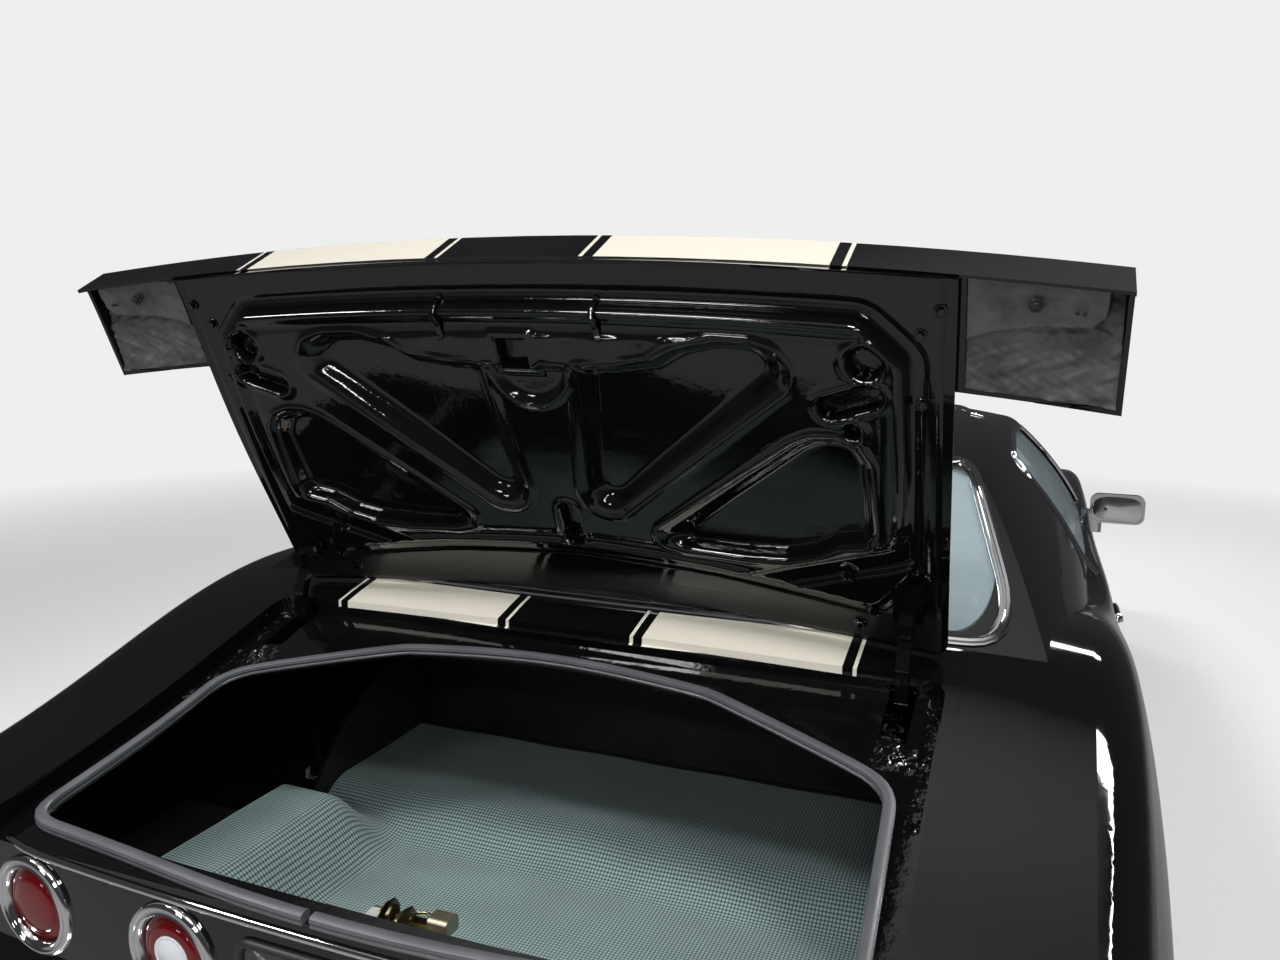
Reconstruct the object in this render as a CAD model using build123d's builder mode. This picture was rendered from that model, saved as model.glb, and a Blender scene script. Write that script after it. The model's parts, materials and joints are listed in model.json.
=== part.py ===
from build123d import *
import os
from collections import namedtuple
from math import cos, radians, sin, tan

# Two-door muscle car of about 1970, boot lid standing open. Millimetres.
# +X is the car's right, +Y its front, +Z up. The origin is on the ground, midway between the bumpers.

# Running gear
wheelbase = 2743.0
front_axle_y = 1427.0
rear_axle_y = front_axle_y - wheelbase
front_track = 1557.0
rear_track = 1524.0
tyre_radius = 335.0
tyre_width = 215.0
rim_radius = 190.5
rim_width = 190.0
spoke_count = 5
arch_radius = 372.0
well_radius = 386.0
front_well_x = 475.0
rear_well_x = 625.0
kingpin_x = 700.0
hub_offset = 25.5

# Fits, and the sheet and wall thicknesses
clearance = 0.3
panel_gap = 6.0
skin = 12.0
lid_skin_thickness = 4.0
lid_frame_depth = 42.0
bonnet_thickness = 22.0
roof_wall = 40.0
glass_recess = 7.0
glass_thickness = 6.0
floor_thickness = 14.0
sheet = 4.0
wall = 12.0

# Cross-sections of the body below the belt, from nose to tail. Each is a flat floor, a side that is
# widest at side_z, a shoulder rounded to round_r, and a crowned top.
Station = namedtuple("Station", "y floor_z sill_x side_x side_z shoulder_x shoulder_z crown_z round_r")
body_stations = [
    Station(2440, 330, 790, 850, 560, 800, 690, 745, 40),
    Station(2050, 270, 850, 900, 575, 862, 800, 838, 50),
    Station(1427, 205, 880, 930, 600, 872, 872, 908, 55),
    Station(640, 192, 896, 930, 600, 874, 895, 955, 45),
    Station(-100, 192, 900, 936, 605, 880, 898, 950, 40),
    Station(-700, 192, 900, 942, 610, 884, 922, 975, 55),
    Station(-1200, 202, 892, 945, 620, 886, 955, 1020, 80),
    Station(-1650, 235, 876, 942, 635, 882, 953, 1008, 90),
    Station(-1850, 262, 858, 934, 637, 876, 898, 953, 88),
    Station(-2150, 304, 830, 912, 642, 860, 815, 870, 80),
    Station(-2440, 345, 800, 884, 650, 836, 736, 791, 65),
]
sill_round = 22.0

# Side views of the body's ends, at the centre line and at end_half_width out
end_half_width = 960.0
EndLine = namedtuple("EndLine", "x nose_low_y nose_high_y tail_low_y tail_high_y")
end_lines = [
    EndLine(-end_half_width, 2155, 2235, -2262, -2315),
    EndLine(0, 2350, 2405, -2323, -2378),
    EndLine(end_half_width, 2155, 2235, -2262, -2315),
]
end_low_z = 150.0
end_high_z = 1100.0

# Cross-sections of the roof with its pillars and windows
RoofStation = namedtuple("RoofStation", "y foot_x rail_x rail_z crown_z round_r")
roof_stations = [
    RoofStation(950, 880, 590, 1160, 1196, 60),
    RoofStation(300, 902, 628, 1205, 1262, 70),
    RoofStation(-350, 906, 636, 1222, 1283, 80),
    RoofStation(-1000, 900, 620, 1200, 1264, 90),
    RoofStation(-1900, 862, 560, 1060, 1120, 90),
]
roof_foot_z = 780.0
roof_side_bulge = 36.0

# Side views of the windscreen and rear window planes, at the centre line and screen_half_width out
screen_half_width = 850.0
ScreenLine = namedtuple("ScreenLine", "x front_low_y front_high_y rear_high_y rear_low_y")
screen_lines = [
    ScreenLine(-screen_half_width, 850, -60, -740, -2000),
    ScreenLine(0, 1010, 60, -868, -2206),
    ScreenLine(screen_half_width, 850, -60, -740, -2000),
]
screen_low_z = 800.0
screen_high_z = 1300.0

# Window openings: windscreen and rear window as seen from behind, side window as seen from the right
WindowOutline = namedtuple("WindowOutline", "low_x low_z bow_z high_x high_z")
windscreen_outline = WindowOutline(768, 928, 972, 565, 1228)
rear_window_outline = WindowOutline(708, 1000, 1016, 590, 1208)
window_corner_r = 55.0
side_window_points = [(515, 890), (75, 1188), (-350, 1203), (-672, 1180), (-672, 890)]

# Doors
door_front_y = 640.0
door_rear_y = -665.0
door_inner_x = 772.0
door_bottom_z = 285.0
door_rear_bevel = 18.0
pillar_inner_x = 700.0
pillar_rear_y = 486.0
sill_inner_x = 740.0

# Bonnet, nose and cowl
nose_split_y = 2123.0
bonnet_front_y = 2110.0
bonnet_rear_y = 800.0
bonnet_front_x = 640.0
bonnet_rear_x = 735.0
cowl_front_y = bonnet_rear_y - panel_gap
turn_in_x = 800.0

# Boot lid: outline from above when shut, its hinge axis, and how far it stands open
lid_front_y = -1744.0
lid_front_corner_y = -1714.0
lid_rear_y = -2430.0
lid_front_x = 612.0
lid_rear_x = 620.0
lid_corner_r = 26.0
lid_open_angle = 78.0
lid_axis_y = -1666.0
lid_axis_z = 934.0
lid_slope = 15.4
tail_edge_y = -2361.0
tail_edge_z = 812.0

# Boot mouth, gutter and seal
mouth_bend_x, mouth_bend_y, mouth_front_y = 270.0, -1818.0, -1806.0
mouth_shoulder_x, mouth_shoulder_y = 562.0, -1922.0
mouth_corner_x, mouth_corner_y, mouth_rear_y = 578.0, -2288.0, -2328.0
mouth_corner_r = 45.0
gutter_depth = 30.0
seal_width = 17.0
filler_half_width = 640.0
hinge_x = 555.0
hinge_width = 20.0
hinge_bar = 16.0
hinge_pin_r = 6.0

# Boot floor, cabin floor and tunnel, as seen from the right
cabin_floor_z = 254.0
axle_floor_z = 540.0
boot_floor_z = 480.0
floor_line = [
    (799.7, 480), (700, cabin_floor_z), (-640, cabin_floor_z), (-740, 430), (-1010, 440),
    (-1080, axle_floor_z), (-1600, axle_floor_z), (-1680, boot_floor_z), (-2300, boot_floor_z),
]
tunnel_half_width = 150.0
tunnel_top_z = 410.0
tunnel_rear_y = -732.0

# Tail lamps, tail panel and bumpers
tail_panel_x = 735.0
tail_panel_front_y = -2240.0
tail_lamp_z = 690.0
tail_lamp_xs = (268.0, 532.0)
tail_lamp_r = 62.0
bumper_depth = 42.0
front_bumper_low_z, front_bumper_high_z = 400.0, 478.0
rear_bumper_low_z, rear_bumper_high_z = 478.0, 568.0

# Nose openings
grille_half_width, grille_low_z, grille_high_z = 290.0, 486.0, 690.0
Lamp = namedtuple("Lamp", "x z radius rear_y front_y")
front_lamp_table = [Lamp(640, 600, 95, 2190, 2278), Lamp(425, 600, 52, 2250, 2326)]
intake_half_width, intake_low_z, intake_high_z = 520.0, 352.0, 392.0


def body_form(inset=0.0):
    """The closed shape below the belt, with every face moved in by inset."""
    with BuildPart() as form:
        for s in body_stations:
            with BuildSketch(Plane.XZ.offset(-s.y)) as section:
                with BuildLine():
                    side = (s.side_x - inset, s.side_z)
                    sill = (s.sill_x - inset, s.floor_z + inset)
                    shoulder = (s.shoulder_x - inset, s.shoulder_z - inset)
                    Line((-sill[0], sill[1]), sill)
                    lower = TangentArc(side, sill, tangent=(0, -1))
                    upper = TangentArc(side, shoulder, tangent=(0, 1))
                    ThreePointArc(shoulder, (0, s.crown_z - inset), (-shoulder[0], shoulder[1]))
                    mirror(lower, about=Plane.YZ)
                    mirror(upper, about=Plane.YZ)
                make_face()
                fillet(section.vertices().group_by(Axis.Y)[-1], max(s.round_r - inset, 8))
                fillet(section.vertices().group_by(Axis.Y)[0], max(sill_round - inset, 5))
        loft()
        add(ends_form(inset), mode=Mode.INTERSECT)
    return form.part


def ends_form(inset=0.0):
    """A block whose front and rear faces are the car's bowed nose and tail."""
    with BuildPart() as form:
        for e in end_lines:
            with BuildSketch(Plane.YZ.offset(e.x)):
                with BuildLine():
                    Polyline(
                        (e.nose_low_y - inset, end_low_z),
                        (e.nose_high_y - inset, end_high_z),
                        (e.tail_high_y + inset, end_high_z),
                        (e.tail_low_y + inset, end_low_z),
                        close=True,
                    )
                make_face()
        loft()
    return form.part


def roof_form(inset=0.0):
    """The closed shape of the roof, its pillars and its windows, moved in by inset."""
    with BuildPart() as form:
        for s in roof_stations:
            with BuildSketch(Plane.XZ.offset(-s.y)) as section:
                with BuildLine():
                    foot = (s.foot_x - inset, roof_foot_z)
                    rail = (s.rail_x - inset, s.rail_z - inset)
                    Line((-foot[0], foot[1]), foot)
                    bulge = ((foot[0] + rail[0]) / 2 + roof_side_bulge, (foot[1] + rail[1]) / 2 + 12)
                    side = ThreePointArc(foot, bulge, rail)
                    ThreePointArc(rail, (0, s.crown_z - inset), (-rail[0], rail[1]))
                    mirror(side, about=Plane.YZ)
                make_face()
                fillet(section.vertices().group_by(Axis.Y)[-1], max(s.round_r - inset, 10))
        loft()
        add(screen_form(inset), mode=Mode.INTERSECT)
    return form.part


def screen_form(inset=0.0):
    """A block whose sloping ends are the windscreen and the rear window."""
    slope_inset = inset * 2
    with BuildPart() as form:
        for e in screen_lines:
            with BuildSketch(Plane.YZ.offset(e.x)):
                with BuildLine():
                    Polyline(
                        (e.front_low_y - slope_inset, screen_low_z),
                        (e.front_high_y - slope_inset, screen_high_z),
                        (e.rear_high_y + slope_inset, screen_high_z),
                        (e.rear_low_y + slope_inset, screen_low_z),
                        close=True,
                    )
                make_face()
        loft()
    return form.part


def plan_block(points, low_z, high_z):
    """An upright block with the given outline seen from above."""
    with BuildPart() as block:
        with BuildSketch(Plane.XY.offset(low_z)):
            with BuildLine():
                Polyline(*points, close=True)
            make_face()
        extrude(amount=high_z - low_z)
    return block.part


def side_block(points, low_x, high_x, round_r=0.0):
    """A block with the given outline seen from the right, from low_x to high_x."""
    with BuildPart() as block:
        with BuildSketch(Plane.YZ.offset(low_x)) as outline:
            with BuildLine():
                Polyline(*points, close=True)
            make_face()
            if round_r:
                fillet(outline.vertices(), round_r)
        extrude(amount=high_x - low_x)
    return block.part


def box_between(low, high):
    """A plain box between two corners."""
    corners = [(low[0], low[1]), (high[0], low[1]), (high[0], high[1]), (low[0], high[1])]
    return plan_block(corners, low[2], high[2])


def window_block(low_x, low_z, bow_z, high_x, high_z, low_y, high_y, shrink=0.0):
    """A fore-and-aft block through a screen: narrower at the top, bowed along the bottom."""
    with BuildPart() as block:
        with BuildSketch(Plane.XZ.offset(-low_y)) as outline:
            with BuildLine():
                ThreePointArc((-low_x, low_z), (0, bow_z), (low_x, low_z))
                Polyline((low_x, low_z), (high_x, high_z), (-high_x, high_z), (-low_x, low_z))
            make_face()
            fillet(outline.vertices(), window_corner_r)
            if shrink:
                offset(amount=-shrink)
        extrude(amount=low_y - high_y)
    return block.part


def wheel_space(axle_y, radius, inner_x):
    """The round spaces that a pair of wheels turn in, from inner_x out past the body sides."""
    outer_x = 1100
    with BuildPart() as space:
        with BuildSketch(Plane.YZ.offset(inner_x)):
            with Locations((axle_y, tyre_radius)):
                Circle(radius)
            with Locations((axle_y, tyre_radius - radius)):
                Rectangle(2 * radius, 2 * radius)
        extrude(amount=outer_x - inner_x)
        mirror(about=Plane.YZ)
    return space.part


def lid_block(grow, low_z=700.0, high_z=1200.0):
    """The boot lid's outline from above, grown all round. Its rear end runs out past the tail."""
    with BuildPart() as block:
        with BuildSketch(Plane.XY.offset(low_z)) as outline:
            with BuildLine():
                left, right = (-lid_front_x, lid_front_corner_y), (lid_front_x, lid_front_corner_y)
                ThreePointArc(left, (0, lid_front_y), right)
                Polyline(right, (lid_rear_x, lid_rear_y), (-lid_rear_x, lid_rear_y), left)
            make_face()
            fillet(outline.vertices().group_by(Axis.Y)[-1], lid_corner_r)
            if grow:
                offset(amount=grow)
        extrude(amount=high_z - low_z)
    return block.part


def mouth_block(grow, low_z=700.0, high_z=1200.0):
    """The boot opening's outline from above, grown all round, with cut-off front corners."""
    with BuildPart() as block:
        with BuildSketch(Plane.XY.offset(low_z)) as outline:
            with BuildLine():
                bend_left, bend_right = (-mouth_bend_x, mouth_bend_y), (mouth_bend_x, mouth_bend_y)
                ThreePointArc(bend_left, (0, mouth_front_y), bend_right)
                Polyline(
                    (mouth_bend_x, mouth_bend_y),
                    (mouth_shoulder_x, mouth_shoulder_y),
                    (mouth_corner_x, mouth_corner_y),
                )
                rear_right, rear_left = (mouth_corner_x, mouth_corner_y), (-mouth_corner_x, mouth_corner_y)
                ThreePointArc(rear_right, (0, mouth_rear_y), rear_left)
                Polyline(
                    (-mouth_corner_x, mouth_corner_y),
                    (-mouth_shoulder_x, mouth_shoulder_y),
                    (-mouth_bend_x, mouth_bend_y),
                )
            make_face()
            fillet(outline.vertices(), mouth_corner_r)
            if grow:
                offset(amount=grow)
        extrude(amount=high_z - low_z)
    return block.part


def lowered(form, drop):
    """A copy of a form moved straight down."""
    return form.moved(Location((0, 0, -drop)))


def raised(form, lift):
    """A copy of a form moved straight up."""
    return form.moved(Location((0, 0, lift)))


def carved(base, keep=(), cut=()):
    """What is left of a form inside every keep block and outside every cut block."""
    with BuildPart() as piece:
        add(base)
        for block in keep:
            add(block, mode=Mode.INTERSECT)
        for block in cut:
            add(block, mode=Mode.SUBTRACT)
    return piece.part


def both_sides(piece):
    """A right-hand piece with its mirror image."""
    with BuildPart() as pair:
        add(piece)
        mirror(about=Plane.YZ)
    return pair.part


def opened(piece):
    """A piece of the shut boot lid, turned about the hinge axis to the open rest position."""
    return piece.rotate(Axis((0, lid_axis_y, lid_axis_z), (1, 0, 0)), -lid_open_angle)


def save(piece, name):
    """Labels a finished piece and writes it to its own file."""
    piece.label = name
    export_step(piece, f"parts/{name}.step")


os.makedirs("parts", exist_ok=True)

# Whole outer and inner forms that the panels are cut from
body = body_form()
body_inner = body_form(skin)
body_lined = body_form(skin + clearance)
body_proud = body_form(-clearance)
roof = roof_form()
roof_inner = roof_form(roof_wall)
body_shell = carved(body, cut=[body_inner])
roof_shell = carved(roof, cut=[roof_inner])
windscreen_hole = window_block(*windscreen_outline, -50, 1000)
rear_window_hole = window_block(*rear_window_outline, -1900, -700)
side_window_hole = side_block(side_window_points, -1000, 1000, 20)
front_wells = wheel_space(front_axle_y, well_radius, front_well_x)
rear_wells = wheel_space(rear_axle_y, well_radius, rear_well_x)
front_arches = wheel_space(front_axle_y, arch_radius, front_well_x)
rear_arches = wheel_space(rear_axle_y, arch_radius, rear_well_x)
lid_opening = lid_block(panel_gap)
gutter_top = lowered(body, gutter_depth)
gutter_bottom = lowered(body, gutter_depth + sheet)


def wheelhouse(inner_x, low_z):
    """A half-drum of sheet over a right-hand wheel, above low_z."""
    axle_y = front_axle_y if inner_x < kingpin_x - 200 else rear_axle_y
    with BuildPart() as house:
        with BuildSketch(Plane.YZ.offset(inner_x)):
            with Locations((axle_y, tyre_radius)):
                Circle(well_radius + wall)
                Circle(well_radius, mode=Mode.SUBTRACT)
            with Locations((axle_y, low_z - 250)):
                Rectangle(1000, 500, mode=Mode.SUBTRACT)
        extrude(amount=960 - inner_x)
    return house.part


def tunnel_block(outline, rear_y, front_y):
    """The drive tunnel's cross-section run from rear_y to front_y."""
    with BuildPart() as block:
        with BuildSketch(Plane.XZ.offset(-rear_y)):
            with BuildLine():
                Polyline(*outline, close=True)
            make_face()
        extrude(amount=rear_y - front_y)
    return block.part


def round_bar(start, end, radius):
    """A plain round bar between two points."""
    way = Vector(*end) - Vector(*start)
    with BuildPart() as bar:
        with BuildSketch(Plane(origin=start, z_dir=way)):
            Circle(radius)
        extrude(amount=way.length)
    return bar.part


# Floor, rockers and engine bay
floor_under = [(y, z - floor_thickness) for y, z in reversed(floor_line)]
rear_well_zone = box_between((-1100, -2000, 100), (1100, -700, 900))
rear_well_outer = wheel_space(rear_axle_y, well_radius + wall + clearance, 612.7)
wheelhouse_cut = carved(rear_well_outer, keep=[rear_well_zone])
tunnel_outer = [
    (-tunnel_half_width, 240), (tunnel_half_width, 240), (120, tunnel_top_z), (-120, tunnel_top_z),
]
tunnel_under_z = tunnel_top_z - floor_thickness
tunnel_inner = [(-136, 200), (136, 200), (107, tunnel_under_z), (-107, tunnel_under_z)]
sill_cut = both_sides(box_between((sill_inner_x - clearance, door_rear_y - 6, 100), (1100, 900, 1000)))
pillar_low = (pillar_inner_x - clearance, pillar_rear_y - clearance, 100)
pillar_cut = both_sides(box_between(pillar_low, (1100, 900, 1000)))
lock_cut = both_sides(box_between((door_inner_x - clearance, -701.3, 100), (1100, -660, 1000)))
floor_pan = carved(
    side_block(floor_line + floor_under, -960, 960),
    keep=[body_lined],
    cut=[wheelhouse_cut, sill_cut, pillar_cut, lock_cut],
)
tunnel = tunnel_block(tunnel_outer, tunnel_rear_y - floor_thickness, 790)
floor_pan = carved(floor_pan + tunnel, cut=[tunnel_block(tunnel_inner, tunnel_rear_y - 30, 900)])
save(floor_pan, "floor_pan")

rocker_zone = box_between((sill_inner_x, door_rear_y - 6, 150), (960, 646, door_bottom_z - panel_gap))
rocker_hollow = box_between((sill_inner_x + wall, door_rear_y - 7, 214), (880, 634, 262))
save(both_sides(carved(body, keep=[rocker_zone], cut=[rocker_hollow])), "rocker_panels")

bay_top = body_form(bonnet_thickness + 8)
radiator_y = 1990.0
bay_wheelhouse = carved(wheelhouse(455, 380.3), keep=[body_lined])
with BuildPart() as bay:
    add(box_between((-799, bonnet_rear_y, 430), (799, 826, 960)))
    add(both_sides(box_between((455, 826, 380.3), (471, radiator_y, 880))))
    add(box_between((-700, radiator_y, 380.3), (700, 2015, 800)))
    add(both_sides(bay_wheelhouse))
    add(box_between((-500, 1320, 380), (500, 1535, 475)), mode=Mode.SUBTRACT)
    add(box_between((-310, radiator_y - 5, 430), (310, 2020, 720)), mode=Mode.SUBTRACT)
    add(bay_top, mode=Mode.INTERSECT)
save(bay.part, "engine_bay")

# Body panels
underside = box_between((-turn_in_x, -2600, 100), (turn_in_x, 2600, 345))
front_underside = box_between((-turn_in_x, 600, 100), (turn_in_x, 2600, 330))
fender_zone = plan_block(
    [(1100, 646), (1100, nose_split_y - clearance), (645, nose_split_y - clearance), (741, bonnet_rear_y),
     (741, 797), (815.3, 797), (815.3, 646)], 100, 1200
)
fender = carved(body_shell, keep=[fender_zone], cut=[front_arches, front_underside])
save(fender, "fender_right")
save(mirror(fender, about=Plane.YZ), "fender_left")

with BuildPart() as nose:
    nose_zone = box_between((-1100, nose_split_y, 100), (1100, 2600, 1100))
    add(carved(body_shell, keep=[nose_zone], cut=[front_underside]))
    with BuildSketch(Plane.XZ.offset(-2100)):
        with Locations((0, (grille_low_z + grille_high_z) / 2)):
            RectangleRounded(2 * grille_half_width, grille_high_z - grille_low_z, 24)
        with Locations((0, (intake_low_z + intake_high_z) / 2)):
            RectangleRounded(2 * intake_half_width, intake_high_z - intake_low_z, 15)
        for lamp in front_lamp_table:
            with Locations((lamp.x, lamp.z), (-lamp.x, lamp.z)):
                Circle(lamp.radius)
    extrude(amount=-400, mode=Mode.SUBTRACT)
save(nose.part, "nose_panel")

cowl_top_zone = box_between((-815, 646, 700), (815, cowl_front_y, 1100))
hinge_pillar_zone = box_between((pillar_inner_x, pillar_rear_y, 279.3), (809, cowl_front_y, 1100))
with BuildPart() as cowl:
    add(carved(body_shell, keep=[cowl_top_zone]))
    add(both_sides(carved(body, keep=[hinge_pillar_zone])))
    add(box_between((-715, cowl_front_y - 12, 480.3), (715, cowl_front_y, 900)))
save(cowl.part, "cowl_panel")

filler_edge_x = filler_half_width + clearance
quarter_zone = plan_block(
    [(1100, door_rear_y - panel_gap), (760, door_rear_y - panel_gap), (760, -1440), (filler_edge_x, -1560),
     (filler_edge_x, -1780), (500, -1780), (500, -2600), (1100, -2600)], 100, 1200
)
tail_zone = box_between((-tail_panel_x, -2600, 100), (tail_panel_x, tail_panel_front_y, 1000))
tail_cut = carved(lowered(body_proud, gutter_depth + sheet), keep=[tail_zone])
sail_zone = box_between((200, -2100, 800), (1100, door_rear_y - panel_gap, 1187.7))
filler_zone = plan_block(
    [(-filler_half_width, -1780), (filler_half_width, -1780), (filler_half_width, -1560), (0, -1620),
     (-filler_half_width, -1560)], 800, 1200
)
filler_strip_zone = box_between((-filler_half_width, -1900, 800), (filler_half_width, -1400, 1100))
lock_pillar_zone = box_between((door_inner_x, -701, 279.3), (1100, door_rear_y - panel_gap, 1100))
with BuildPart() as quarter:
    add(carved(body_shell, keep=[quarter_zone], cut=[underside, rear_arches, lid_opening, tail_cut]))
    add(carved(body, keep=[lock_pillar_zone]))
    add(carved(wheelhouse(613, 300), keep=[body], cut=[lock_pillar_zone]))
    add(carved(roof_shell, keep=[sail_zone], cut=[rear_window_hole, body_inner, filler_strip_zone]))
quarter_right = carved(quarter.part, cut=[rear_arches])
save(quarter_right, "quarter_right")
save(mirror(quarter_right, about=Plane.YZ), "quarter_left")
with BuildPart() as filler:
    add(carved(body_shell, keep=[filler_zone], cut=[lid_opening]))
    add(carved(roof_shell, keep=[filler_strip_zone], cut=[rear_window_hole, body_inner]))
save(filler.part, "deck_filler")

roof_keep_rear = box_between((-1100, -2100, 1188), (1100, 1000, 1400))
roof_keep_front = box_between((-1100, -600, 780), (1100, 1000, 1400))
door_top_zone = box_between((-1100, door_rear_y - 6, 700), (1100, 646, 1200))
door_top_cut = carved(raised(body, panel_gap), keep=[door_top_zone])
roof_zone = roof_keep_rear + roof_keep_front
roof_panel = carved(
    roof_shell,
    keep=[roof_zone],
    cut=[windscreen_hole, rear_window_hole, side_window_hole, body_proud, door_top_cut],
)
save(roof_panel, "roof_panel")

# Tail panel, lamps, bumpers and grille
tail_face = lowered(body, gutter_depth + sheet + clearance)
tail_keep_x = tail_panel_x - clearance
tail_keep = box_between((-tail_keep_x, -2600, 345), (tail_keep_x, tail_panel_front_y, 1000))
with BuildPart() as tail:
    add(carved(body_shell, keep=[tail_keep, tail_face]))
    with BuildSketch(Plane.XZ.offset(2200)):
        for x in tail_lamp_xs:
            with Locations((x, tail_lamp_z), (-x, tail_lamp_z)):
                Circle(tail_lamp_r + 4)
    extrude(amount=300, mode=Mode.SUBTRACT)
save(tail.part, "tail_panel")

with BuildPart() as lamp_pair:
    for x in tail_lamp_xs:
        face_y = -2354 + 63 * (x / end_half_width) ** 2
        with BuildSketch(Plane.XZ.offset(2305)):
            with Locations((x, tail_lamp_z)):
                Circle(tail_lamp_r + 4 - clearance)
        extrude(amount=-face_y - 2305 + 4)
        with BuildSketch(Plane.XZ.offset(-face_y - 8)):
            with Locations((x, tail_lamp_z)):
                Circle(75)
                Circle(tail_lamp_r - 2, mode=Mode.SUBTRACT)
        extrude(amount=17)
    bezel_cut = carved(body_proud, keep=[box_between((0, -2600, 500), (900, -2200, 900))])
lamp_shafts = [
    round_bar((x, -2250, tail_lamp_z), (x, -2420, tail_lamp_z), tail_lamp_r + 4 - clearance)
    for x in tail_lamp_xs
]
lamp_rims = carved(lamp_pair.part, cut=[bezel_cut])
lamp_cores = carved(lamp_pair.part, keep=[lamp_shafts[0] + lamp_shafts[1]])
save(both_sides(lamp_rims + lamp_cores), "tail_lamps")

bumper_form = carved(body_form(-bumper_depth), cut=[body_proud])
front_bumper_zone = box_between((320, 2060, front_bumper_low_z), (930, 2600, front_bumper_high_z))
rear_bumper_zone = box_between((-930, -2600, rear_bumper_low_z), (930, -2110, rear_bumper_high_z))
front_bumper = both_sides(carved(bumper_form, keep=[front_bumper_zone]))
save(front_bumper + carved(bumper_form, keep=[rear_bumper_zone]), "bumpers")

with BuildPart() as grille:
    grille_centre, grille_height = (0, (grille_low_z + grille_high_z) / 2), grille_high_z - grille_low_z
    with BuildSketch(Plane.XZ.offset(-2290)):
        with Locations(grille_centre):
            grille_width = 2 * (grille_half_width - clearance)
            RectangleRounded(grille_width, grille_height - 2 * clearance, 24 - clearance)
    extrude(amount=-54)
    with BuildSketch(Plane.XZ.offset(-2280)):
        with Locations(grille_centre):
            with GridLocations(68, 44, 8, 4):
                Rectangle(60, 36)
    extrude(amount=-80, mode=Mode.SUBTRACT)
save(grille.part, "grille")

with BuildPart() as front_lamps:
    for lamp in front_lamp_table:
        with BuildSketch(Plane.XZ.offset(-lamp.rear_y)):
            with Locations((lamp.x, lamp.z), (-lamp.x, lamp.z)):
                Circle(lamp.radius - clearance)
        extrude(amount=lamp.rear_y - lamp.front_y)
    fillet(front_lamps.edges().filter_by(GeomType.CIRCLE).group_by(Axis.Y)[-1], 8)
save(front_lamps.part, "front_lamps")

# Glass
glass_layer = carved(roof_form(glass_recess), cut=[roof_form(glass_recess + glass_thickness), body_proud])
windscreen_inside = window_block(*windscreen_outline, -50, 1000, clearance)
windscreen_zone = box_between((-1000, 0, 800), (1000, 1000, 1300))
windscreen = carved(glass_layer, keep=[windscreen_inside, windscreen_zone])
rear_window_inside = window_block(*rear_window_outline, -1900, -700, clearance)
rear_window_zone = box_between((-1000, -1900, 800), (1000, -700, 1300))
rear_window = carved(glass_layer, keep=[rear_window_inside, rear_window_zone])
save(windscreen + rear_window, "screens")
door_glass_points = [(503, 860), (72, 1180), (-350, 1195), (-664, 1172), (-664, 860)]
door_glass = carved(glass_layer, keep=[side_block(door_glass_points, 500, 1000, 15)])
save(door_glass, "door_glass_right")
save(mirror(door_glass, about=Plane.YZ), "door_glass_left")

# Doors and their mirrors
door_plan = [
    (door_inner_x, 480), (815, 480), (815, door_front_y), (1100, door_front_y), (1100, door_rear_y),
    (door_inner_x + door_rear_bevel, door_rear_y), (door_inner_x, door_rear_y + door_rear_bevel),
]
door_zone = plan_block(door_plan, door_bottom_z, 1200)
hollow_x = door_inner_x + wall
hollow_plan = [(hollow_x, 468), (827, 468), (827, 628), (1100, 628), (1100, -645), (hollow_x, -645)]
door_hollow = plan_block(hollow_plan, 200, 850)
door = carved(body, keep=[door_zone], cut=[carved(body_inner, keep=[door_hollow])])
save(door, "door_right")
save(mirror(door, about=Plane.YZ), "door_left")

mirror_x, mirror_y, mirror_z = 958.0, 245.0, 932.0
with BuildPart() as mirror_head:
    with BuildSketch(Plane.XZ.offset(-mirror_y + 22)):
        with Locations((mirror_x, mirror_z)):
            RectangleRounded(156, 92, 26)
    extrude(amount=-18)
    with BuildSketch(Plane.XZ.offset(-mirror_y + 4)):
        with Locations((mirror_x, mirror_z)):
            RectangleRounded(156, 92, 26)
    extrude(amount=-50, taper=28)
    with BuildSketch(Plane.XZ.offset(-mirror_y + 23)):
        with Locations((mirror_x, mirror_z)):
            RectangleRounded(144, 80, 21)
    extrude(amount=-4, mode=Mode.SUBTRACT)
    with BuildSketch(Plane.XY.offset(850)):
        with Locations((888, mirror_y + 14)):
            SlotOverall(60, 26)
    extrude(amount=70)
    add(body_proud, mode=Mode.SUBTRACT)
save(mirror_head.part, "mirror_right")
save(mirror(mirror_head.part, about=Plane.YZ), "mirror_left")

# Bonnet
bonnet_zone = plan_block(
    [(-bonnet_rear_x, bonnet_rear_y), (bonnet_rear_x, bonnet_rear_y), (bonnet_front_x, bonnet_front_y),
     (-bonnet_front_x, bonnet_front_y)], 600, 1200
)
save(carved(body, keep=[bonnet_zone], cut=[body_form(bonnet_thickness)]), "bonnet")

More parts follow.
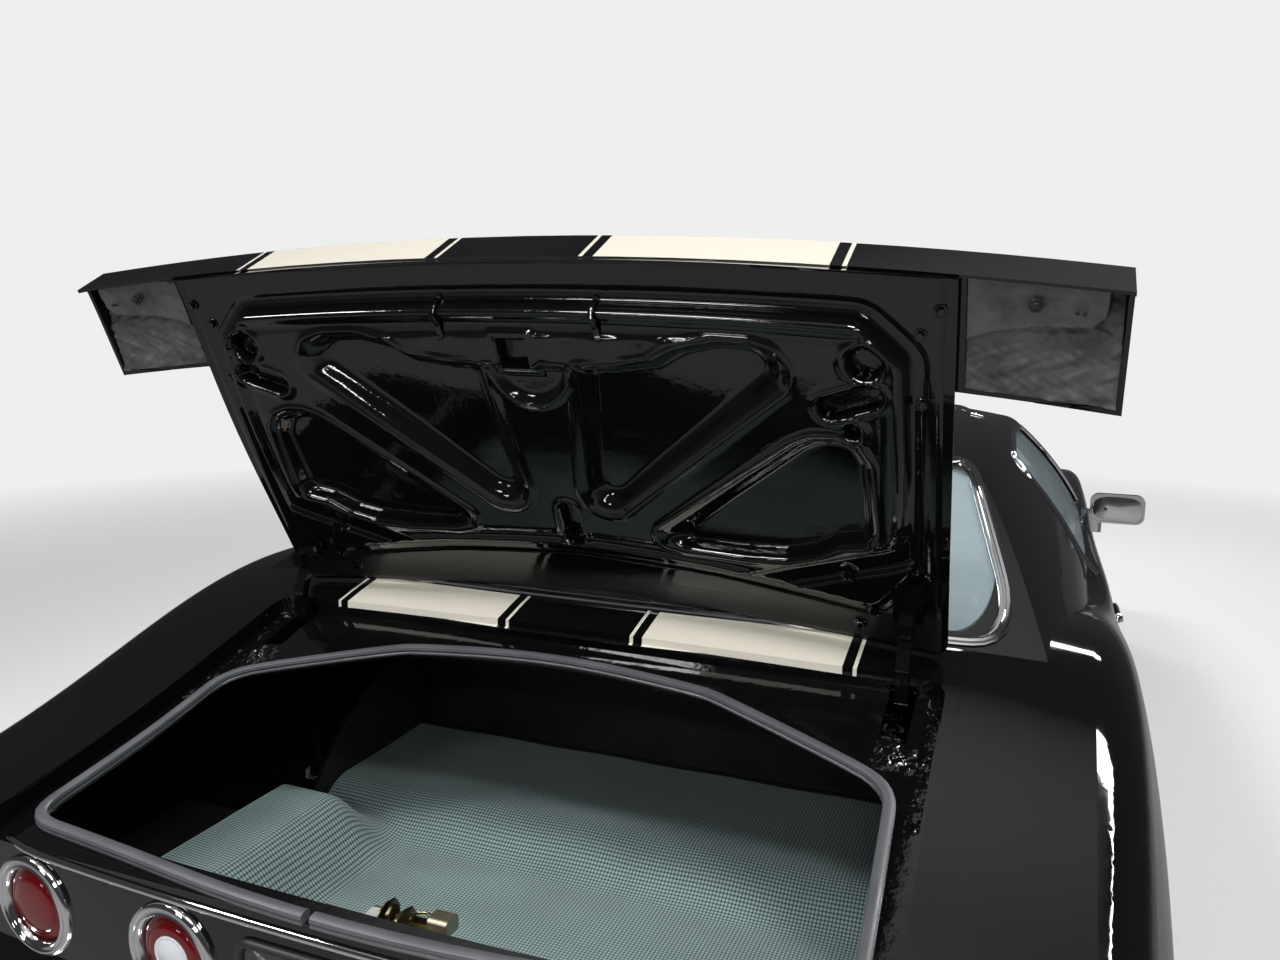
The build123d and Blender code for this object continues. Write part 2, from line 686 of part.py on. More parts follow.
# Boot gutter, its hinge pockets and pins, and the seal round the mouth
gutter_layer = carved(gutter_top, cut=[gutter_bottom, mouth_block(0)])
gutter_outer = lid_block(panel_gap + sheet)
under_skin = lowered(body, wall + 1)
pocket_low_x, pocket_high_x = hinge_x - hinge_width / 2 - 10, hinge_x + hinge_width / 2 + 10
pocket_rear_y, pocket_front_y = lid_axis_y - 156, lid_axis_y + 20
pocket_low_z, pocket_high_z = lid_axis_z - 80, lid_axis_z + 22
pocket_corner = (pocket_high_x, pocket_front_y, pocket_high_z)
pocket_cut = box_between((pocket_low_x, pocket_rear_y, pocket_low_z), pocket_corner)
pocket_low = (pocket_low_x - sheet, pocket_rear_y - sheet, pocket_low_z - sheet)
pocket_mid = (pocket_low_x - sheet, lid_front_corner_y, pocket_low_z - sheet)
pocket_rear_walls = box_between(pocket_low, (pocket_high_x + sheet, lid_front_corner_y, 1000))
pocket_front_walls = box_between(pocket_mid, (pocket_high_x + sheet, pocket_front_y + sheet, 1000))
pocket_walls = carved(pocket_rear_walls, keep=[gutter_top]) + carved(pocket_front_walls, keep=[under_skin])
hinge_pin = round_bar(
    (pocket_low_x - 2, lid_axis_y, lid_axis_z), (pocket_high_x + 2, lid_axis_y, lid_axis_z), hinge_pin_r
)
gutter_walls = carved(body_lined, keep=[gutter_outer, under_skin], cut=[lid_opening, gutter_bottom])
with BuildPart() as gutter:
    add(carved(gutter_layer, keep=[gutter_outer, body_lined]))
    add(carved(gutter_layer, keep=[lid_block(panel_gap - clearance), body]))
    add(gutter_walls)
    add(both_sides(pocket_walls))
    add(both_sides(pocket_cut), mode=Mode.SUBTRACT)
    add(both_sides(hinge_pin))
save(gutter.part, "boot_gutter")

seal_layer = carved(lowered(body, 16.8), cut=[lowered(body, gutter_depth - clearance)])
save(carved(seal_layer, keep=[mouth_block(seal_width)], cut=[mouth_block(-1)]), "boot_seal")

# Boot lid, drawn shut and then swung open about its hinge axis
lid_normal = (0, -sin(radians(lid_slope)), cos(radians(lid_slope)))
lid_plane = Plane(origin=(0, tail_edge_y, tail_edge_z), x_dir=(1, 0, 0), z_dir=lid_normal)
upper_pocket = [(82, 140), (46, 365), (76, 402), (108, 398), (402, 160), (392, 116), (348, 90), (215, 126)]
lower_pocket = [(172, 425), (172, 478), (425, 462), (512, 405), (508, 235), (468, 222), (410, 232)]
under_lid = lowered(body, 16)
lid_hem = lowered(body, lid_frame_depth / 2)
lid_skin = carved(body, keep=[lid_block(0)], cut=[body_form(lid_skin_thickness), lid_hem])
save(opened(lid_skin), "lid_skin")
with BuildPart() as lid_cuts:
    for points in (upper_pocket, lower_pocket):
        for side in (1, -1):
            with BuildSketch(lid_plane.offset(-64)) as pocket:
                with BuildLine():
                    Polyline(*[(side * x, v) for x, v in points[::side]], close=True)
                make_face()
                fillet(pocket.vertices(), 10)
            extrude(amount=100, taper=9)
with BuildPart() as lid_holes:
    with BuildSketch(lid_plane.offset(-64)):
        for side in (1, -1):
            with Locations((side * 505, 107)):
                Circle(20)
            with Locations(Location((side * 490, 165), side * -20)):
                SlotOverall(90, 32)
        with Locations((488, 218)):
            Circle(8)
        with Locations(Location((15, 455), 90)):
            SlotOverall(80, 28)
        with Locations((-15, 125)):
            RectangleRounded(46, 46, 6)
    extrude(amount=100)
flange = carved(body_form(lid_skin_thickness + clearance), keep=[lid_block(-12)], cut=[under_lid])
raised_frame = carved(under_lid, keep=[mouth_block(-14)], cut=[lowered(body, lid_frame_depth)])
lid_frame = carved(flange + raised_frame, cut=[lid_cuts.part])
lid_frame = carved(lid_frame, cut=[lid_holes.part])
save(opened(lid_frame), "lid_frame")

arm_path = [(0, 0), (-8, -64), (-69, -59), (-110, -30), (-126, -2)]
pad_rear_y, pad_front_y = lid_axis_y - 194, lid_axis_y - 118
with BuildPart() as arm:
    with BuildSketch(Plane.YZ.offset(hinge_x - hinge_width / 2)):
        with BuildLine():
            FilletPolyline(*[(lid_axis_y + y, lid_axis_z + z) for y, z in arm_path], radius=14)
        trace(line_width=hinge_bar)
        with Locations((lid_axis_y, lid_axis_z)):
            Circle(15)
            Circle(hinge_pin_r + clearance, mode=Mode.SUBTRACT)
    extrude(amount=hinge_width)
    add(box_between((hinge_x - 23, pad_rear_y, 880), (hinge_x + 23, pad_front_y, 1000)))
pad_zone = box_between((hinge_x - 30, pad_rear_y - 10, 800), (hinge_x + 30, pad_front_y + 10, 1000))
arm_zone = box_between((hinge_x - 10, lid_axis_y - 140, 800), (hinge_x + 10, lid_axis_y, 1000))
pad_cut = carved(lowered(body, 20), keep=[pad_zone], cut=[arm_zone])
lid_hinge = carved(arm.part, keep=[lowered(body, 16 + clearance)], cut=[pad_cut])
save(opened(both_sides(lid_hinge)), "lid_hinges")

# Spoiler, riding on the lid and overhanging the quarter panels
SpoilerStation = namedtuple("SpoilerStation", "x rear_y deck_z lip")
spoiler_stations = [
    SpoilerStation(-815, -2316, 787, 54),
    SpoilerStation(-612, -2335, 802, 62),
    SpoilerStation(0, -2361, 812, 70),
    SpoilerStation(612, -2335, 802, 62),
    SpoilerStation(815, -2316, 787, 54),
]
spoiler_chord = 158.0
spoiler_wall = 6.0
with BuildPart() as spoiler:
    for s in spoiler_stations:
        rise = spoiler_chord * tan(radians(lid_slope))
        foot = (s.rear_y + spoiler_chord, s.deck_z + rise)
        with BuildSketch(Plane.YZ.offset(s.x)):
            with BuildLine():
                Polyline(
                    (foot[0], foot[1] - 14),
                    (foot[0], foot[1] + 5),
                    (s.rear_y + 62, s.deck_z + 40),
                    (s.rear_y, s.deck_z + s.lip - 3),
                    (s.rear_y - 16, s.deck_z + s.lip),
                    (s.rear_y - 22, s.deck_z + s.lip - 6),
                    (s.rear_y - 4, s.deck_z - 12),
                    close=True,
                )
            make_face()
    loft()
spoiler_form = spoiler.part
quarter_clear = carved(raised(body, panel_gap + 2), cut=[lid_block(-2)])
spoiler_solid = carved(spoiler_form, cut=[body_proud, quarter_clear])
tray_zone = both_sides(box_between((628, -2400, 700), (815 - spoiler_wall, -2168, 950)))
tray = carved(spoiler_form.moved(Location((0, spoiler_wall, -spoiler_wall))), keep=[tray_zone])
save(opened(carved(spoiler_solid, cut=[tray])), "spoiler")

# Latch and floor mat in the boot
gutter_reach = carved(body, cut=[lowered(body, gutter_depth + sheet + 2)])
with BuildPart() as latch:
    add(box_between((-40, -2360, 690), (95, -2330, 760)))
    add(box_between((-20, -2340, 728), (75, -2262, 738)))
    add(box_between((-8, -2310, 738), (8, -2245, 764)))
    add(box_between((44, -2310, 738), (60, -2245, 758)))
    add(box_between((12, -2330, 700), (40, -2290, 750)))
    add(body_lined, mode=Mode.INTERSECT)
    add(gutter_reach, mode=Mode.SUBTRACT)
save(latch.part, "boot_latch")

mat_line = [(y, z + clearance) for y, z in floor_line[-4:]]
mat_line[0], mat_line[-1] = (-1262, axle_floor_z + clearance), (-2312, boot_floor_z + clearance)
mat_top = [(y, z + 9) for y, z in reversed(mat_line)]
save(carved(side_block(mat_line + mat_top, -606, 606), keep=[body_lined]), "boot_mat")

# Cabin: shelf, seats, dashboard
shelf_z = 905.0
bulkhead_y = -1242.0
with BuildPart() as shelf:
    add(box_between((-700, -1560, shelf_z - 10), (700, bulkhead_y + 12, shelf_z)))
    add(box_between((-700, bulkhead_y, axle_floor_z + clearance), (700, bulkhead_y + 12, shelf_z)))
    add(body_lined, mode=Mode.INTERSECT)
    add(wheelhouse_cut, mode=Mode.SUBTRACT)
save(shelf.part, "parcel_shelf")

seat_side = [
    (200, 300), (200, 430), (-180, 405), (-250, 400), (-430, 800), (-500, 790), (-330, 330), (-250, 285),
]
bench_side = [
    (-760, 440.6), (-760, 560), (-1040, 545), (-1150, 880), (-1229.7, 880), (-1229.7, 540.6),
    (-1080.3, 540.6), (-1010.3, 440.6),
]
dash_side = [(781.7, 640), (781.7, 905), (560, 885), (490, 850), (500, 800), (600, 700), (700, 640)]
seat_x = 402.0
seat_half_width = 240.0
with BuildPart() as seats:
    with BuildSketch(Plane.YZ.offset(seat_x - seat_half_width)) as seat_outline:
        with BuildLine():
            Polyline(*seat_side, close=True)
        make_face()
        fillet(seat_outline.vertices(), 24)
    extrude(amount=2 * seat_half_width)
    fillet(seats.edges().filter_by(lambda edge: edge.bounding_box().size.X < 1), 18)
    add(box_between((seat_x - 180, -220, cabin_floor_z + clearance), (seat_x + 180, 120, 320)))
save(both_sides(seats.part), "front_seats")

with BuildPart() as bench:
    with BuildSketch(Plane.YZ.offset(-600)) as bench_outline:
        with BuildLine():
            Polyline(*bench_side, close=True)
        make_face()
        fillet(bench_outline.vertices().filter_by(lambda v: v.Z > 870 or (v.Z > 550 and v.Y > -800)), 20)
    extrude(amount=1200)
save(carved(bench.part, cut=[wheelhouse_cut]), "rear_seat")

with BuildPart() as dashboard:
    with BuildSketch(Plane.YZ.offset(-695)) as dash_outline:
        with BuildLine():
            Polyline(*dash_side, close=True)
        make_face()
        fillet(dash_outline.vertices().sort_by(Axis.Y)[:3], 22)
    extrude(amount=1390)
    add(body_lined, mode=Mode.INTERSECT)
    add(box_between((-60, 470, 411), (60, 600, 800)))

wheel_centre = (-390.0, 330.0, 800.0)
wheel_tilt = 25.0
column_way = (0, cos(radians(wheel_tilt)), -sin(radians(wheel_tilt)))


def on_column(distance):
    """A point on the steering column, so far forward of the steering wheel's centre."""
    return tuple(c + distance * w for c, w in zip(wheel_centre, column_way))


save(dashboard.part + round_bar(on_column(40), on_column(290), 26), "dashboard")
wheel_plane = Plane(origin=wheel_centre, x_dir=(1, 0, 0), z_dir=column_way)
with BuildPart() as steering:
    rim_centre = wheel_plane.origin + Vector(172, 0, 0)
    with BuildSketch(Plane(origin=rim_centre, x_dir=(1, 0, 0), z_dir=wheel_plane.y_dir)):
        Circle(13)
    revolve(axis=Axis(wheel_centre, column_way), revolution_arc=360)
    with BuildSketch(wheel_plane):
        Circle(45)
    extrude(amount=39.7)
    for angle in (0, 90, 180):
        way = wheel_plane.x_dir.rotate(Axis((0, 0, 0), column_way), angle)
        start = Vector(*wheel_centre) + Vector(*column_way) * 8 + way * 30
        add(round_bar(tuple(start), tuple(start + way * 140), 9))
save(steering.part, "steering_wheel")

# Engine, gearbox and front subframe
head_outline = [
    (-110, 540), (110, 540), (228, 600), (228, 690), (60, 700), (-60, 700), (-228, 690), (-228, 600),
]
with BuildPart() as engine:
    add(box_between((-180, 900, 320), (180, 1500, 560)))
    with BuildSketch(Plane.XZ.offset(-900)):
        with BuildLine():
            Polyline(*head_outline, close=True)
        make_face()
    extrude(amount=-560)
    add(round_bar((0, 1200, 690), (0, 1200, 760), 165))
    add(round_bar((0, 1500, 430), (0, 1560, 430), 90))
    add(round_bar((0, 1500, 560), (0, 1540, 560), 200))
    add(box_between((-90, 330, 250), (90, 905, 385)))
    add(round_bar((0, 300, 320), (0, 340, 320), 45))
save(engine.part, "engine_block")

rail_low_z, rail_high_z, engine_arm_z = 300.0, 380.0, 312.0
arm_low_z, arm_high_z = 215.0, 455.0
with BuildPart() as half_frame:
    add(box_between((400, 772, rail_low_z), (450, 2040, rail_high_z)))
    add(box_between((0, 1360, 215), (471, 1495, rail_low_z)))
    add(box_between((400, 1380, rail_high_z), (450, 1475, arm_high_z)))
    add(plan_block([(440, 1345), (440, 1510), (708, 1447), (708, 1407)], arm_low_z, arm_low_z + 19.7))
    add(plan_block([(440, 1365), (440, 1490), (708, 1446), (708, 1408)], arm_high_z - 19.7, arm_high_z))
    add(box_between((180.3, 1160, engine_arm_z), (400, 1230, rail_high_z)))
save(both_sides(half_frame.part), "front_subframe")

# Rear axle, springs, tank and exhaust
axle_end_x = rear_track / 2 - hub_offset - clearance
with BuildPart() as rear_axle:
    add(round_bar((-axle_end_x, rear_axle_y, tyre_radius), (axle_end_x, rear_axle_y, tyre_radius), 38))
    for side in (1, -1):
        drum_start = (side * 690, rear_axle_y, tyre_radius)
        add(round_bar(drum_start, (side * axle_end_x, rear_axle_y, tyre_radius), 130))
    with BuildSketch(Plane.YZ.offset(-105)):
        with Locations((rear_axle_y, tyre_radius)):
            Circle(130)
    extrude(amount=210)
    round_edges = rear_axle.edges().filter_by(GeomType.CIRCLE)
    casing_rims = round_edges.filter_by(lambda edge: 104 < abs(edge.center().X) < 106)
    fillet(casing_rims, 30)
    add(round_bar((0, rear_axle_y, tyre_radius), (0, 299, 320), 35))
save(rear_axle.part, "rear_axle")

spring_thick = 30.0
spring_points = [(-740, 330), (rear_axle_y, 281.7), (-1930, 350)]
with BuildPart() as spring:
    with BuildSketch(Plane.YZ.offset(520)):
        with BuildLine():
            ThreePointArc(*spring_points)
        trace(line_width=spring_thick)
    extrude(amount=63)
    add(box_between((530, -765, 320), (573, -715, 500)))
    add(box_between((530, -1950, 340), (573, -1905, boot_floor_z - floor_thickness - clearance)))
    kick_up = side_block([*floor_line[2:5], (-1010, 700), (-640, 700)], 500, 600)
    add(lowered(kick_up, floor_thickness + clearance), mode=Mode.SUBTRACT)
save(both_sides(spring.part), "leaf_springs")

with BuildPart() as tank:
    add(box_between((-380, -2230, 290), (380, -1770, boot_floor_z - floor_thickness - clearance)))
    fillet(tank.edges().filter_by(Axis.Z), 50)
    fillet(tank.faces().sort_by(Axis.Z)[0].edges(), 30)
save(tank.part, "fuel_tank")

pipe_x, pipe_z, pipe_r = 265.0, 189.7, 28.0
with BuildPart() as exhaust:
    add(round_bar((pipe_x, -2290, pipe_z), (pipe_x, 1240, pipe_z), pipe_r))
    add(round_bar((pipe_x, -600, pipe_z), (pipe_x, -100, pipe_z), 50))
    add(round_bar((pipe_x, 1212, pipe_z), (pipe_x, 1212, engine_arm_z - clearance), pipe_r))
    add(round_bar((pipe_x, -2291, pipe_z), (pipe_x, -2200, pipe_z), 24), mode=Mode.SUBTRACT)
    add(box_between((pipe_x - 10, -2080, pipe_z + 10), (pipe_x + 10, -2040, 289.7)))
save(both_sides(exhaust.part), "exhaust")

# Steering knuckles with brake drums and spindles
front_hub_x = front_track / 2 - hub_offset
with BuildPart() as knuckle:
    add(round_bar((kingpin_x, front_axle_y, arm_low_z + 20), (kingpin_x, front_axle_y, arm_high_z - 20), 20))
    spindle_end = (front_hub_x - clearance, front_axle_y, tyre_radius)
    add(round_bar((kingpin_x, front_axle_y, tyre_radius), spindle_end, 32))
    add(round_bar((722, front_axle_y, tyre_radius), (748, front_axle_y, tyre_radius), 130))
save(knuckle.part, "knuckle_right")
save(mirror(knuckle.part, about=Plane.YZ), "knuckle_left")

# Wheels and tyres. A wheel is turned about the X axis at the origin, its outer side towards +X.
rim_edge = rim_width / 2
rim_profile = [
    (-rim_edge, rim_radius), (-rim_edge, 202), (-87, 202), (-80, 188), (-30, 178), (60, 178), (84, 188),
    (88, 202), (rim_edge, 202), (rim_edge, 188), (84, 176), (55, 168), (-30, 170), (-86, 180),
]
tyre_side = [(88, 202.3), (104, 230), (tyre_width / 2, 262), (103, 300), (88, 322), (72, 331)]
tyre_profile = [(-x, r) for x, r in tyre_side] + [(0, tyre_radius)] + tyre_side[::-1]


def turned(profile):
    """A ring whose half-section is given as points of offset along the axle and radius."""
    with BuildPart() as ring:
        with BuildSketch(Plane.XY):
            with BuildLine():
                Polyline(*profile, close=True)
            make_face()
        revolve(axis=Axis.X, revolution_arc=360)
    return ring.part


with BuildPart() as wheel:
    add(turned(rim_profile))
    with BuildSketch(Plane.YZ.offset(-hub_offset)):
        Circle(78)
    extrude(amount=hub_offset + 30)
    with BuildSketch(Plane.YZ.offset(4)):
        Circle(172)
        Circle(150, mode=Mode.SUBTRACT)
        with PolarLocations(0, spoke_count):
            Polygon((0, -30), (164, -40), (164, 40), (0, 30), align=None)
    extrude(amount=30)
    with BuildSketch(Plane.YZ.offset(30)):
        Circle(40)
    extrude(amount=30)
with BuildPart() as tyre:
    add(turned(tyre_profile))
wheel_places = {
    "front_right": (front_track / 2, front_axle_y, False),
    "front_left": (-front_track / 2, front_axle_y, True),
    "rear_right": (rear_track / 2, rear_axle_y, False),
    "rear_left": (-rear_track / 2, rear_axle_y, True),
}
for place, (x, y, flipped) in wheel_places.items():
    spot = Location((x, y, tyre_radius))
    wheel_piece = mirror(wheel.part, about=Plane.YZ) if flipped else wheel.part
    tyre_piece = mirror(tyre.part, about=Plane.YZ) if flipped else tyre.part
    save(wheel_piece.moved(spot), f"wheel_{place}")
    save(tyre_piece.moved(spot), f"tyre_{place}")
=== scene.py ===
import bpy
import bmesh
import json
import numpy as np
from math import cos, exp, hypot, pi, radians, sin, sqrt
from mathutils import Matrix, Vector, noise
from mathutils.bvhtree import BVHTree


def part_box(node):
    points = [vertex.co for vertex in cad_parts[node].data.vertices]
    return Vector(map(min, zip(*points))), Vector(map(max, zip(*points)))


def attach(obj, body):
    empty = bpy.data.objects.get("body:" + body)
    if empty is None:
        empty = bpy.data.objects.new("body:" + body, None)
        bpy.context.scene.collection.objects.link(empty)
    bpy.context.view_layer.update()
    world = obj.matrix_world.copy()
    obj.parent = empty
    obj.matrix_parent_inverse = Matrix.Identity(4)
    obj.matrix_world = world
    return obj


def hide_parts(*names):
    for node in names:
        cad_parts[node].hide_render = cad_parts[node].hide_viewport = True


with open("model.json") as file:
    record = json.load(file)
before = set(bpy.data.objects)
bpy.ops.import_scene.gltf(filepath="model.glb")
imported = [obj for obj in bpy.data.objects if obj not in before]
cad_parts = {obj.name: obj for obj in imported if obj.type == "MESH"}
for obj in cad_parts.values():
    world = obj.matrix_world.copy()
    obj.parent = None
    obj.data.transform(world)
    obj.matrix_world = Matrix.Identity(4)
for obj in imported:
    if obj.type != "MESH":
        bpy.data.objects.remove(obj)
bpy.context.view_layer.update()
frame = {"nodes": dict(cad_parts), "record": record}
nodes = frame["nodes"]
print("frame loaded:", len(nodes), "nodes")

# materials
def startMaterial(name, colour, rough, metal=0.0, coat=0.0):
    mat = bpy.data.materials.new(name)
    mat.use_nodes = True
    tree = mat.node_tree
    shader = tree.nodes["Principled BSDF"]
    shader.inputs["Base Color"].default_value = (*colour, 1)
    shader.inputs["Roughness"].default_value = rough
    shader.inputs["Metallic"].default_value = metal
    shader.inputs["Coat Weight"].default_value = coat
    coords = tree.nodes.new("ShaderNodeTexCoord")
    return mat, tree, shader, coords.outputs["Object"]


def addMath(tree, kind, first, second=None, third=None, clampIt=False):
    node = tree.nodes.new("ShaderNodeMath")
    node.operation = kind
    node.use_clamp = clampIt
    for slot, value in enumerate((first, second, third)):
        if value is None:
            continue
        if isinstance(value, (int, float)):
            node.inputs[slot].default_value = value
        else:
            tree.links.new(value, node.inputs[slot])
    return node.outputs[0]


def addNoise(tree, coords, scale, detail=3.0, rough=0.5):
    node = tree.nodes.new("ShaderNodeTexNoise")
    node.inputs["Scale"].default_value = scale
    node.inputs["Detail"].default_value = detail
    node.inputs["Roughness"].default_value = rough
    tree.links.new(coords, node.inputs["Vector"])
    return node.outputs["Fac"]


def addRange(tree, value, low, high, outLow, outHigh):
    node = tree.nodes.new("ShaderNodeMapRange")
    for slot, number in zip((1, 2, 3, 4), (low, high, outLow, outHigh)):
        node.inputs[slot].default_value = number
    tree.links.new(value, node.inputs[0])
    return node.outputs[0]


def addMix(tree, factor, first, second):
    node = tree.nodes.new("ShaderNodeMix")
    node.data_type = "RGBA"
    for slot, value in ((0, factor), (6, first), (7, second)):
        if isinstance(value, (int, float)):
            node.inputs[slot].default_value = value
        elif isinstance(value, tuple):
            node.inputs[slot].default_value = (*value, 1)
        else:
            tree.links.new(value, node.inputs[slot])
    return node.outputs[2]


def addSplit(tree, coords):
    node = tree.nodes.new("ShaderNodeSeparateXYZ")
    tree.links.new(coords, node.inputs[0])
    return node.outputs


def addBump(tree, shader, height, strength, distance):
    node = tree.nodes.new("ShaderNodeBump")
    node.inputs["Strength"].default_value = strength
    node.inputs["Distance"].default_value = distance
    tree.links.new(height, node.inputs["Height"])
    old = shader.inputs["Normal"].links
    if old:
        tree.links.new(old[0].from_socket, node.inputs["Normal"])
    tree.links.new(node.outputs[0], shader.inputs["Normal"])


paintLook = {
    "black": (0.0028, 0.0028, 0.0032),
    "cream": (0.72, 0.68, 0.58),
    "rough": (0.02, 0.055),
    "field": (0.2985, 0.1635),   # stripe centre and half width
    "pins": ((0.116, 0.003), (0.481, 0.003)),
}


def makePaint(name, striped, outward=(0, 0, 1)):
    mat, tree, shader, coords = startMaterial(name, paintLook["black"], 0.05, coat=0.2)
    shader.inputs["Coat Roughness"].default_value = 0.03
    dust = addNoise(tree, coords, 9.0, 4.0)
    if striped:
        across = addMath(tree, "ABSOLUTE", addSplit(tree, coords)[0])
        mask = addMath(tree, "COMPARE", across, *paintLook["field"])
        for pin in paintLook["pins"]:
            mask = addMath(tree, "ADD", mask, addMath(tree, "COMPARE", across, *pin), clampIt=True)
        # a panel's inner side stays black
        facing = tree.nodes.new("ShaderNodeVectorMath")
        facing.operation = "DOT_PRODUCT"
        facing.inputs[1].default_value = outward
        tree.links.new(coords.node.outputs["Normal"], facing.inputs[0])
        mask = addMath(tree, "MULTIPLY", mask, addMath(tree, "GREATER_THAN", facing.outputs["Value"], -0.4))
        colour = addMix(tree, mask, paintLook["black"], paintLook["cream"])
        tree.links.new(colour, shader.inputs["Base Color"])
    tree.links.new(addRange(tree, dust, 0.35, 0.7, *paintLook["rough"]), shader.inputs["Roughness"])
    swirl = addNoise(tree, coords, 420.0, 2.0)
    addBump(tree, shader, swirl, 0.02, 0.0004)
    return mat


def makePlain(name, colour, rough, metal=0.0, coat=0.0, grain=300.0, bump=0.1, depth=0.0005, tint=0.25):
    mat, tree, shader, coords = startMaterial(name, colour, rough, metal, coat)
    cloud = addNoise(tree, coords, 14.0, 5.0)
    darker = tuple(c * (1 - tint) for c in colour)
    lighter = tuple(min(1.0, c * (1 + tint)) for c in colour)
    tree.links.new(addMix(tree, cloud, darker, lighter), shader.inputs["Base Color"])
    tree.links.new(addRange(tree, cloud, 0.3, 0.7, rough * 0.8, min(1.0, rough * 1.25)),
                   shader.inputs["Roughness"])
    addBump(tree, shader, addNoise(tree, coords, grain, 3.0), bump, depth)
    return mat


def makeGlass(name, colour, rough, alpha):
    mat, tree, shader, coords = startMaterial(name, colour, rough)
    shader.inputs["Alpha"].default_value = alpha
    if alpha < 0.5:
        # more of the pale glass colour shows towards a slanting view: a painted reflection
        slant = tree.nodes.new("ShaderNodeLayerWeight")
        tree.links.new(addRange(tree, slant.outputs["Facing"], 0.25, 0.5, alpha, 0.44),
                       shader.inputs["Alpha"])
    shader.inputs["Coat Weight"].default_value = 0.3
    shader.inputs["Coat Roughness"].default_value = 0.01
    haze = addNoise(tree, coords, 6.0, 3.0)
    tree.links.new(addRange(tree, haze, 0.3, 0.7, rough, rough + 0.04), shader.inputs["Roughness"])
    return mat


looks = {
    "body_paint": makePaint("glossBlack", False),
    "striped": makePaint("glossBlackStriped", True),
    "lid_stripes": makePaint("glossBlackLid", True, (0, sin(radians(78)), cos(radians(78)))),
    "bay_paint": makePlain("innerBlack", (0.003, 0.003, 0.0034), 0.07, coat=0.3, grain=70.0, bump=0.3,
                           depth=0.0012),
    "underbody": makePlain("underseal", (0.02, 0.02, 0.021), 0.6, grain=240.0, bump=0.4),
    "chrome": makePlain("chromePlate", (0.78, 0.78, 0.8), 0.05, metal=1.0, bump=0.01, tint=0.04),
    "black_trim": makePlain("satinBlack", (0.014, 0.014, 0.015), 0.4),
    "glass": makeGlass("windowGlass", (0.5, 0.62, 0.65), 0.02, 0.12),
    "mirror_glass": makePlain("mirrorGlass", (0.86, 0.88, 0.9), 0.02, metal=1.0, bump=0.0, tint=0.02),
    "lamp_clear": makeGlass("lampGlass", (0.8, 0.82, 0.85), 0.06, 0.75),
    "lamp_red": makeGlass("lampRed", (0.11, 0.002, 0.004), 0.05, 1.0),
    "seal_rubber": makePlain("sealRubber", (0.085, 0.088, 0.094), 0.38, grain=500.0, bump=0.3),
    "zinc": makePlain("latchZinc", (0.42, 0.38, 0.28), 0.38, metal=0.9, bump=0.2),
    "mat": makePlain("bootMat", (0.09, 0.13, 0.13), 0.8),
    "cabin_trim": makePlain("grainVinyl", (0.018, 0.018, 0.02), 0.5, grain=700.0, bump=0.5),
    "seat_vinyl": makePlain("seatVinyl", (0.02, 0.02, 0.021), 0.42, grain=600.0, bump=0.5),
    "engine_iron": makePlain("engineIron", (0.06, 0.06, 0.065), 0.5, bump=0.3),
    "tank_steel": makePlain("tankSteel", (0.3, 0.31, 0.31), 0.45, metal=0.8, bump=0.2),
    "exhaust_steel": makePlain("exhaustSteel", (0.26, 0.25, 0.24), 0.42, metal=0.9, bump=0.2),
    "wheel_alloy": makePlain("wheelAlloy", (0.42, 0.43, 0.45), 0.28, metal=1.0, bump=0.05),
    "tyre": makePlain("tyreRubber", (0.018, 0.018, 0.019), 0.75, grain=260.0, bump=0.3),
}
stripesOf = {"lid_skin": "lid_stripes", "spoiler": "lid_stripes", "deck_filler": "striped",
             "bonnet": "striped"}
slotOf = {part["node"]: part["material_slot"] for part in frame["record"]["subparts"]}


def smoothByAngle(piece, degrees):
    for face in piece.data.polygons:
        face.use_smooth = True
    piece.data.set_sharp_from_angle(angle=radians(degrees))


for name, piece in nodes.items():
    piece.data.materials.clear()
    piece.data.materials.append(looks[stripesOf.get(name, slotOf[name])])
    smoothByAngle(piece, 32)
easing = nodes["bumpers"].modifiers.new("easedEdges", "BEVEL")
easing.width, easing.segments, easing.limit_method, easing.angle_limit = 0.007, 4, "ANGLE", radians(30)
print("paint and trim assigned")

# mesh helpers
def addPiece(name, points, faces, look, body, slotName, sharp=40):
    mesh = bpy.data.meshes.new(name)
    mesh.from_pydata([tuple(p) for p in points], [], faces)
    mesh.validate()
    mesh.update()
    piece = bpy.data.objects.new(name, mesh)
    bpy.context.collection.objects.link(piece)
    mesh.materials.append(look)
    tidy = bmesh.new()
    tidy.from_mesh(mesh)
    bmesh.ops.recalc_face_normals(tidy, faces=tidy.faces)
    tidy.to_mesh(mesh)
    tidy.free()
    if sharp:
        smoothByAngle(piece, sharp)
    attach(piece, body)
    return piece


def joinShapes(shapes):
    points, faces = [], []
    for shapePoints, shapeFaces in shapes:
        start = len(points)
        points += shapePoints
        faces += [tuple(i + start for i in face) for face in shapeFaces]
    return points, faces


def addShapes(name, shapes, slotName, body="car", sharp=40):
    return addPiece(name, *joinShapes(shapes), looks[slotName], body, slotName, sharp)


def gridFaces(rows, columns):
    return [(r * columns + c, r * columns + c + 1, (r + 1) * columns + c + 1, (r + 1) * columns + c)
            for r in range(rows - 1) for c in range(columns - 1)]


def ringFaces(rings, size, closed=False):
    # faces between rings that hold the same number of points
    faces = []
    for ring in range(rings if closed else rings - 1):
        this, after = ring * size, (ring + 1) % rings * size
        faces += [(this + i, this + (i + 1) % size, after + (i + 1) % size, after + i) for i in range(size)]
    return faces


def endFaces(rings, size):
    return [tuple(range(size)), tuple(reversed(range((rings - 1) * size, rings * size)))]


def fanFaces(rings, size):
    # closes the last ring onto the point that follows it
    last = (rings - 1) * size
    return [(last + i, last + (i + 1) % size, last + size) for i in range(size)]


